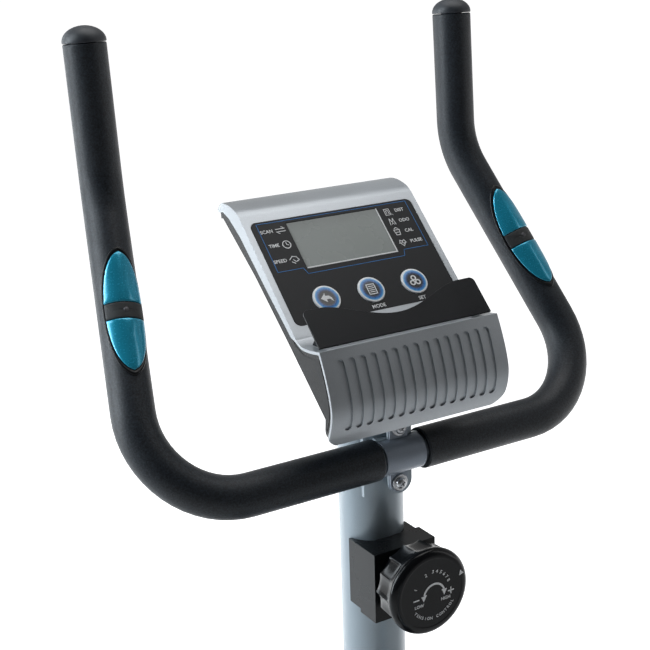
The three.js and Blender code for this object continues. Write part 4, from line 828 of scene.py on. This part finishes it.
def arcRibbon(centre, radius, start, end, width, low, high, steps=20):
    points = []
    for reach in (radius - width / 2, radius + width / 2):
        run = []
        for step in range(steps + 1):
            angle = math.radians(start + (end - start) * step / steps)
            run.append((centre[0] + reach * math.cos(angle), centre[1] + reach * math.sin(angle)))
        points.append(run)
    if abs(end - start) >= 360:
        half = steps // 2
        first = prism(points[0][:half + 1] + points[1][:half + 1][::-1], low, high)
        return joined(first, prism(points[0][half:] + points[1][half:][::-1], low, high))
    return prism(points[0] + points[1][::-1], low, high)


def words(text, x, y, size, low, high, turn=0.0, align="CENTER"):
    curve = bpy.data.curves.new("words", "FONT")
    curve.body, curve.size, curve.align_x, curve.align_y = text, size, align, "CENTER"
    curve.resolution_u = 3
    curve.extrude = (high - low) / 2
    curve.offset = size * 0.015
    holder = bpy.data.objects.new("words", curve)
    bpy.context.scene.collection.objects.link(holder)
    bpy.context.view_layer.update()
    mesh = bpy.data.meshes.new_from_object(holder.evaluated_get(bpy.context.evaluated_depsgraph_get()))
    bpy.data.objects.remove(holder)
    bm = bmesh.new()
    bm.from_mesh(mesh)
    bpy.data.meshes.remove(mesh)
    place = Matrix.Translation((x, y, (low + high) / 2)) @ Matrix.Rotation(turn, 4, "Z")
    bmesh.ops.transform(bm, matrix=place, verts=bm.verts)
    return bm


faceLow, faceHigh = 0.02, 0.14
frameLine = [(-80, 86), (80, 86), (80, 34.5), (53, 34.5), (50.5, 28), (-52, 28), (-54.5, 34.5), (-80, 34.5)]
piece("panel_blue_line", shaped(ribbon(frameLine, 0.55, faceLow, faceHigh), facePlace), "frame", blue)

labels = [("SCAN", -73, 77, 4.9), ("TIME", -72, 61.5, 4.9), ("SPEED", -73, 45, 4.9), ("DIST", 69, 77.4, 4.9),
          ("ODO", 69, 65.8, 4.9), ("CAL", 68.5, 54, 4.9), ("PULSE", 70.5, 42, 4.9), ("MODE", 0, -17.3, 5.0),
          ("SET", 46.5, -17.8, 5.0)]
printing = [words(text, x, y, size, faceLow, faceHigh) for text, x, y, size in labels]


def stroke(points, width, closed=False):
    return ribbon(points, width, faceLow, faceHigh, closed)


printing += [
    arcRibbon((-59.5, 61), 3.9, 0, 360, 0.8, faceLow, faceHigh),      # clock
    stroke([(-59.5, 61), (-59.5, 63.4)], 0.6), stroke([(-59.5, 61), (-57.8, 60.2)], 0.6),
    stroke([(-63.5, 78.2), (-54.5, 78.2), (-57, 80.2)], 0.7),         # two arrows
    stroke([(-54.5, 75.4), (-63.5, 75.4), (-61, 73.4)], 0.7),
    stroke([(-63.5, 45), (-60, 48), (-56, 47), (-54.5, 43.5), (-58, 42), (-60, 44.5)], 0.75),
    stroke([(-62, 42.4), (-59.4, 40.6)], 0.7),
    stroke([(52.8, 73.6), (52.8, 80.4), (58.2, 80.4), (58.2, 73.6)], 0.6, True),
    stroke([(54.4, 75.4), (54.4, 78.6), (56.6, 78.6), (56.6, 75.4), (60.4, 73.2)], 0.6),
    stroke([(52.6, 62.6), (53.6, 69.4), (55.5, 65.4), (57.4, 69.4), (58.4, 62.6)], 0.65),
    stroke([(54.2, 62.8), (55.5, 64.6), (56.8, 62.8)], 0.5),
    stroke([(52.6, 56.4), (58.6, 56.4), (57.6, 50.8), (53.6, 50.8)], 0.7, True),
    stroke([(53.4, 57.6), (55.6, 59), (57.8, 57.6)], 0.6), stroke([(53.2, 53.6), (58, 53.6)], 0.6),
    stroke([(55.6, 38.2), (52.4, 42.2), (53.4, 44.8), (55.6, 43.4), (57.8, 44.8), (58.8, 42.2)], 0.7, True),
    stroke([(51.6, 41.6), (54.4, 41.6), (55.4, 43), (56.4, 40.2), (57, 41.6), (59.6, 41.6)], 0.45)]
piece("panel_print", shaped(joined(*printing), facePlace), "frame", white)

keyStops = [(0.0, (0.006, 0.008, 0.014)), (0.52, (0.006, 0.008, 0.014)), (0.60, (0.008, 0.05, 0.15)),
            (0.76, (0.018, 0.22, 0.66)), (0.85, (0.20, 0.55, 0.85)), (0.885, (0.93, 0.95, 0.97))]
iconLow, iconHigh = keys["proud"] + 0.03, keys["proud"] + 0.14


def resetIcon():
    return prism([(-6.2, 0.2), (-0.6, 5.2), (-1.0, 2.4), (2.4, 2.0), (4.6, -0.4), (5.2, -4.4), (2.6, -1.4),
                  (-0.8, -1.2), (-0.8, -4.2)], iconLow, iconHigh)


def listIcon():
    parts = [ribbon([(-4, -5), (-4, 5), (4, 5), (4, -5)], 1.0, iconLow, iconHigh)]
    parts += [ribbon([(-2.4, y), (2.4, y)], 0.8, iconLow, iconHigh, False) for y in (-2.8, -0.9, 1.0, 2.9)]
    return joined(*parts)


def linkIcon():
    centres = [(0, 3.0), (-2.8, -1.8), (2.8, -1.8)]
    return joined(*[arcRibbon(c, 2.2, 0, 360, 1.3, iconLow, iconHigh, 18) for c in centres])


for index, (key, icon) in enumerate(zip(keys["names"], (resetIcon, listIcon, linkIcon))):
    x = (index - 1) * keys["pitch"]
    surface = keyPrint(f"{key}Print", {"middle": (x, 0, keys["proud"]), "radius": keys["radius"], "stops": keyStops})
    low, high, radius = keys["proud"] - keys["depth"], keys["proud"], keys["radius"]
    profile = [(0, low), (radius, low), (radius, high - 0.9), (radius - 0.25, high - 0.3), (radius - 0.9, high),
               (radius * 0.6, high), (0, high)]
    button = shaped(lathe(profile, 64), Matrix.Translation((x, 0, 0)), 1)
    piece(f"key_{key}", shaped(button, facePlace), f"{key}_key", surface, [f"button_{key}"])
    mark = shaped(icon(), Matrix.Translation((x, 0, 0)), 1)
    piece(f"key_mark_{key}", shaped(mark, facePlace), f"{key}_key", white)
print("console made")


post = {"radius": 30.5, "wall": 2, "low": -436, "high": 80, "sleeve": 33.5, "sleeveLow": -45, "sleeveHigh": 30,
        "clamp": 16.7, "bore": 14.3, "half": 21, "ear": 9.5, "earShift": 3, "earThickness": 2.6, "setback": 45.6,
        "split": 0.3, "cableHole": 5.5}
screw = {"head": 5.2, "washer": 7.8, "drop": 26.5, "front": 48.5, "hole": 3.3, "slot": 0.55, "turn": 0.5}
knob = {"centre": -117, "face": 97, "flutes": 14, "fluteDepth": 3.0, "fluteTop": 8, "fluteFade": 5, "core": 30}


def bar(radius, low, high, place=None, sides=64):
    # a solid rod, along Z unless it is placed otherwise
    return shaped(lathe([(0, low), (radius, low), (radius, high), (0, high)], sides), place, 1)


def block(low, high):
    return prism([(low[0], low[1]), (high[0], low[1]), (high[0], high[1]), (low[0], high[1])], low[2], high[2])


def ears(radius, shift, low, high):
    # a tongue with round ends, one at each screw, between two depths
    reach = screw["drop"] + radius
    bm = prism(roundedBox(shift - radius, shift + radius, -reach, reach, radius - 0.01, 12), low, high)
    bmesh.ops.rotate(bm, cent=(0, 0, 0), matrix=Matrix.Rotation(math.pi / 2, 3, "X"), verts=bm.verts)
    return bm


crossways = Matrix.Translation((0, -post["setback"], 0)) @ Matrix.Rotation(math.pi / 2, 4, "Y")
forwards = Matrix.Rotation(math.pi / 2, 4, "X")
half, setback, split = post["half"], post["setback"], post["split"]
screwHeights = {"lower": -screw["drop"], "upper": screw["drop"]}


def screwHoles():
    return [("DIFFERENCE", bar(screw["hole"], setback - 9, setback + 20, Matrix.Translation((0, 0, z)) @ forwards, 24))
            for z in screwHeights.values()]


sleeveBand = carved(bar(post["sleeve"], post["sleeveLow"], post["sleeveHigh"], sides=128),
                    ("INTERSECT", block((-23, -60, -60), (23, -15, 60))))
tube = carved(bar(post["radius"], post["low"], post["high"], sides=128), ("UNION", sleeveBand),
              ("UNION", bar(post["clamp"], -half - 1.5, half + 1.5, crossways)),
              ("UNION", block((-16, 4 - setback, 3 - post["clamp"]), (16, -25, post["clamp"] - 3))),
              ("UNION", ears(post["ear"] + post["earShift"], post["earShift"], setback - split - post["earThickness"],
                             setback - split)),
              ("DIFFERENCE", block((-60, -120, -80), (60, split - setback, 80))),
              ("DIFFERENCE", bar(post["bore"], -60, 60, crossways)),
              ("DIFFERENCE", bar(post["radius"] - post["wall"], post["low"] - 5, post["high"] + 5, sides=96)),
              ("DIFFERENCE", bar(post["cableHole"], 0, 60, Matrix.Translation((0, 0, knob["centre"])) @ forwards, 24)),
              *screwHoles())
piece("handlebar_upright", rounded(shaped(tube, postPlace), 0.5, 2, 28), "frame", silver,
      ["handlebar_post"], smooth=35)

strap = carved(bar(post["clamp"], -half, half, crossways),
               ("UNION", ears(post["ear"], 0, setback, setback + post["earThickness"])),
               ("DIFFERENCE", block((-60, -split - setback, -80), (60, 0, 80))),
               ("DIFFERENCE", bar(post["bore"], -60, 60, crossways)), *screwHoles())
piece("clamp_band", rounded(shaped(strap, postPlace), 0.6, 3, 28), "frame", strapSilver,
      ["clamp_strap"], smooth=35)
eased("tension_mount", satin, 1.3, 3)

for name, height in screwHeights.items():
    head = lathe([(0, -8), (3, -8), (3, 0), (screw["washer"], 0), (screw["washer"], 1.2), (7.3, 1.6), (5.9, 1.6),
                  (5.9, 2.3), (screw["head"], 2.4), (screw["head"], 3.4), (4.6, 4.6), (3.2, 5.4), (0, 5.7)], 40)
    slot = screw["slot"]
    driven = carved(head, ("DIFFERENCE", block((-2.6, -slot, 3.6), (2.6, slot, 8))),
                    ("DIFFERENCE", block((-slot, -2.6, 3.6), (slot, 2.6, 8))))
    bmesh.ops.rotate(driven, cent=(0, 0, 0), matrix=Matrix.Rotation(screw["turn"], 3, "Z"), verts=driven.verts)
    shaped(driven, aimed(Vector((0, -screw["front"], height)), (0, -1, 0)), 1)
    piece(f"clamp_pan_screw_{name}", shaped(driven, postPlace), "frame", zinc, [f"clamp_screw_{name}"])

knobProfile = [(0, 34), (12, 34), (12, 33), (36, 33), (38.2, 32.2), (39.2, 30.4), (39.8, 26), (40.1, 21), (40.4, 16),
               (40.5, 12.5), (40.6, 10.4), (41.1, 8.4), (41.4, 6.4), (41.1, 4.2), (40.0, 2.3), (38.2, 0.9), (36.0, 0.2),
               (34, 0), (33.3, 0.1), (32.8, 0.45), (0, 0.45)]
turned = lathe(knobProfile, 192)
for v in turned.verts:
    reach = math.hypot(v.co.x, v.co.y)
    if reach > knob["core"] and v.co.z > knob["fluteTop"]:
        angle = math.atan2(v.co.y, v.co.x)
        wave = abs(math.sin(angle * knob["flutes"] / 2)) ** 0.55
        fade = min(1.0, (v.co.z - knob["fluteTop"]) / knob["fluteFade"])
        scale = 1 - knob["fluteDepth"] * wave * fade / reach
        v.co.x *= scale
        v.co.y *= scale
hub = lathe([(0, 33), (12, 33), (12, 40.6), (0, 40.6)], 40)
turned = joined(turned, hub)
# the knob's face looks to -y of the post's frame, and its depth runs back from it
knobCentre = postPlace @ Matrix.Translation((0, -knob["face"] * mm, knob["centre"] * mm))
knobPlace = knobCentre @ Matrix.Rotation(-math.pi / 2, 4, "X")
facePrint = knobCentre @ Matrix.Rotation(math.pi / 2, 4, "X")
piece("tension_dial_knob", shaped(turned, knobPlace), "tension_dial", gloss, ["tension_knob"], smooth=40)

dial = {"digitSize": 4.6, "wordSize": 4.3, "captionSize": 3.9, "caption": "TENSION CONTROL", "captionReach": 25.2,
        "captionMiddle": 272, "captionPitch": 7.6,
        "digits": [(-17, 8), (-6, 19), (1.6, 20.6), (6, 19.8), (10.2, 18), (13.8, 15.2), (16.6, 11.6), (18.6, 7.6)]}
dialLow, dialHigh = -0.4, -0.22
dialPrint = []
for index, (x, y) in enumerate(dial["digits"]):
    turn = math.atan2(y, x) - math.pi / 2
    dialPrint.append(words(str(index + 1), x, y, dial["digitSize"], dialLow, dialHigh, turn))
dialPrint += [words("LOW", -13.5, -9.8, dial["wordSize"], dialLow, dialHigh),
              words("HIGH", 15.5, -9.4, dial["wordSize"], dialLow, dialHigh),
              ribbon([(-19.2, -3), (-14, -3)], 1.2, dialLow, dialHigh, False),
              ribbon([(18.6, -3.4), (24.2, -3.4)], 1.2, dialLow, dialHigh, False),
              ribbon([(21.4, -6.2), (21.4, -0.6)], 1.2, dialLow, dialHigh, False),
              arcRibbon((3, -3), 11.2, 18, 166, 1.9, dialLow, dialHigh),
              prism([(-11.2, -1.0), (-5.2, -0.4), (-8.6, -6.4)], dialLow, dialHigh),
              prism([(11.0, 0.6), (17.0, 0.0), (14.0, -5.6)], dialLow, dialHigh),
              prism([(30.6, 8.6), (35.2, 10.2), (31.6, 14.2)], -0.2, 0.04)]
for index, letter in enumerate(dial["caption"]):
    angle = math.radians(dial["captionMiddle"] + dial["captionPitch"] * (index - len(dial["caption"]) / 2 + 0.5))
    if letter != " ":
        dialPrint.append(words(letter, 2 + dial["captionReach"] * math.cos(angle),
                               dial["captionReach"] * math.sin(angle), dial["captionSize"], dialLow, dialHigh,
                               angle + math.pi / 2))
piece("tension_dial_print", shaped(joined(*dialPrint), facePrint), "tension_dial", white)
recoloured("tension_cable", rubber)
print("post and dial made")


for node in ("main_frame", "front_stabiliser", "rear_stabiliser"):
    eased(node, silver, 0.8)
eased("seat_post", silver, 0.4)
for node in ("post_collar", "seat_bushing", "saddle_base"):
    eased(node, black, 0.9)
eased("height_knob", black, 1.2, 3)
for side in ("right", "left"):
    eased(f"shroud_{side}", casing, 1.2, 3, over=40)
    for node in ("front_cap", "rear_cap"):
        eased(f"{node}_{side}", black, 1.2, 3)
    eased(f"transport_wheel_{side}", rubber, 0.6)
    eased(f"levelling_foot_{side}", rubber, 0.6)
    eased(f"crank_arm_{side}", brushed, 1.6, 3)
    eased(f"pedal_spindle_{side}", zinc, 0.4)
    eased(f"pedal_{side}", black, 1.2, 3)
    eased(f"pedal_strap_{side}", webbing, 0.5)
eased("crank_axle", zinc, 0.8)
eased("flywheel", iron, 0.6)
eased("flywheel_axle", zinc, 0.4)
eased("drive_pulley", black, 0.5)
eased("magnet_bracket", zinc, 0.4)
recoloured("drive_belt", rubber)
print("frame made")


saddle = {"shrink": 0.965, "voxel": 0.006, "pressure": 4.0, "frames": 20, "most": 0.007, "fill": 0.75}
low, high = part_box("saddle_pad")
middle = (low + high) / 2
cushion = merged("saddle_pad")
for v in cushion.verts:
    v.co = middle + (v.co - middle) * saddle["shrink"]
mesh = bpy.data.meshes.new("saddle_cushion")
cushion.to_mesh(mesh)
cushion.free()
pad = bpy.data.objects.new("saddle_cushion", mesh)
bpy.context.scene.collection.objects.link(pad)


def applyModifiers(thing):
    bpy.context.view_layer.update()
    result = bpy.data.meshes.new_from_object(thing.evaluated_get(bpy.context.evaluated_depsgraph_get()))
    thing.modifiers.clear()
    thing.data = result


remesh = pad.modifiers.new("remesh", "REMESH")
remesh.mode, remesh.voxel_size = "VOXEL", saddle["voxel"]
applyModifiers(pad)
before = [v.co.copy() for v in pad.data.vertices]
cloth = pad.modifiers.new("cloth", "CLOTH")
cloth.settings.use_pressure = True
cloth.settings.uniform_pressure_force = saddle["pressure"]
cloth.settings.effector_weights.gravity = 0
for number in range(1, saddle["frames"] + 1):
    bpy.context.scene.frame_set(number)
after = bpy.data.meshes.new_from_object(pad.evaluated_get(bpy.context.evaluated_depsgraph_get()))
pad.modifiers.clear()
bpy.context.scene.frame_set(1)
for vertex, old, new in zip(pad.data.vertices, before, after.vertices):
    move = new.co - old
    if move.length > saddle["most"]:
        move *= saddle["most"] / move.length
    place = old + move
    place.z = max(place.z, low.z)      # flat where it sits on the base
    vertex.co = place
finer = pad.modifiers.new("finer", "SUBSURF")
finer.levels = finer.render_levels = 1
applyModifiers(pad)
pad.data.materials.clear()
pad.data.materials.append(vinyl)
pad.data.polygons.foreach_set("use_smooth", [True] * len(pad.data.polygons))
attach(pad, "seat")
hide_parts("saddle_pad")
print("saddle made")


studio = {"bright": 0.42, "dark": 0.04, "glow": 0.93, "near": 0.3, "far": 1.1, "backdrop": 0.84,
          "key": 30, "strip": 26, "rim": 7, "side": 3, "top": 26, "tint": (0.86, 0.94, 1.0),
          "dimFloor": 0.1, "paleFloor": 0.68,
          "ahead": (0.52, 0.855, 0), "lens": 73.1, "eye": (-0.6143, -0.6931, 1.3853), "aim": (0, 0.24, 1.0),
          "right": (0.854, -0.521, 0), "back": (-0.488, -0.801, 0.3465)}
floorMesh = bmesh.new()
bmesh.ops.create_grid(floorMesh, x_segments=2, y_segments=2, size=30)
floorPaint = Paint("paleFloor")
floorCloud = floorPaint.noise(0.6, 2)
# the floor lights the bike only from ahead, so that black faces stay black; looked at, it is pale all round
floorReach = floorPaint.node("VectorMath", {"operation": "DOT_PRODUCT"}, {0: floorPaint.coords(), 1: studio["ahead"]},
                             out="Value")
floorReach = floorPaint.spread(floorReach, 0, 1, studio["near"], studio["far"])
seen = floorPaint.node("LightPath", out="Is Camera Ray")
dimFloor = floorPaint.blend(seen, (studio["dimFloor"],) * 3, (studio["paleFloor"],) * 3)
floorPaint.finish(Base_Color=floorPaint.blend(floorCloud, (0.90, 0.90, 0.90), (0.93, 0.93, 0.93)), Roughness=0.9,
                  Emission_Color=floorPaint.blend(floorReach, dimFloor, (1, 1, 1)),
                  Emission_Strength=studio["glow"])
floorData = bpy.data.meshes.new("floor")
floorMesh.to_mesh(floorData)
floorMesh.free()
floorData.materials.append(floorPaint.material)
floor = bpy.data.objects.new("floor", floorData)
bpy.context.scene.collection.objects.link(floor)

world = bpy.data.worlds.new("studio")
bpy.context.scene.world = world
world.use_nodes = True
sky = world.node_tree
behindUs = sky.nodes.new("ShaderNodeVectorMath")
behindUs.operation = "DOT_PRODUCT"
behindUs.inputs[1].default_value = (-0.44, -0.72, 0.53)
sky.links.new(sky.nodes.new("ShaderNodeTexCoord").outputs["Generated"], behindUs.inputs[0])
dim = sky.nodes.new("ShaderNodeMapRange")
for socket, value in ((1, -0.5), (2, 0.6), (3, studio["bright"]), (4, studio["dark"])):
    dim.inputs[socket].default_value = value
sky.links.new(behindUs.outputs["Value"], dim.inputs[0])
pale = sky.nodes.new("ShaderNodeMix")
pale.inputs[3].default_value = studio["backdrop"]
sky.links.new(sky.nodes.new("ShaderNodeLightPath").outputs["Is Camera Ray"], pale.inputs[0])
sky.links.new(dim.outputs[0], pale.inputs[2])
sky.links.new(pale.outputs[0], sky.nodes["Background"].inputs[1])
sky.nodes["Background"].inputs[0].default_value = (1, 1, 1, 1)
bpy.context.scene.view_settings.view_transform = "Standard"

aim, viewRight, viewBack = (Vector(studio[key]) for key in ("aim", "right", "back"))


def softLight(name, right, back, up, size, power, tint=(1, 1, 1)):
    data = bpy.data.lights.new(name, "AREA")
    data.shape, data.size, data.size_y, data.energy, data.color = "RECTANGLE", size[0], size[1], power, tint
    lamp = bpy.data.objects.new(name, data)
    lamp.location = aim + viewRight * right + viewBack * back + Vector((0, 0, up))
    lamp.rotation_euler = (lamp.location - aim).to_track_quat("Z", "Y").to_euler()
    bpy.context.scene.collection.objects.link(lamp)


softLight("key", -2.2, 0.5, 1.3, (1.3, 2.0), studio["key"], studio["tint"])
softLight("strip", -1.9, 0.2, 0.25, (0.3, 1.8), studio["strip"], studio["tint"])
softLight("rim", -1.5, -1.2, 0.5, (0.4, 1.8), studio["rim"], studio["tint"])
softLight("side", 2.0, 0.1, 0.5, (0.5, 2.0), studio["side"])
softLight("top", 0.2, -0.6, 2.4, (2.4, 1.6), studio["top"])

camera = bpy.data.cameras.new("camera")
camera.lens, camera.sensor_width = studio["lens"], 36
eye = bpy.data.objects.new("camera", camera)
eye.location = studio["eye"]
eye.rotation_euler = viewBack.to_track_quat("Z", "Y").to_euler()
bpy.context.scene.collection.objects.link(eye)
bpy.context.scene.camera = eye
print("stage made")
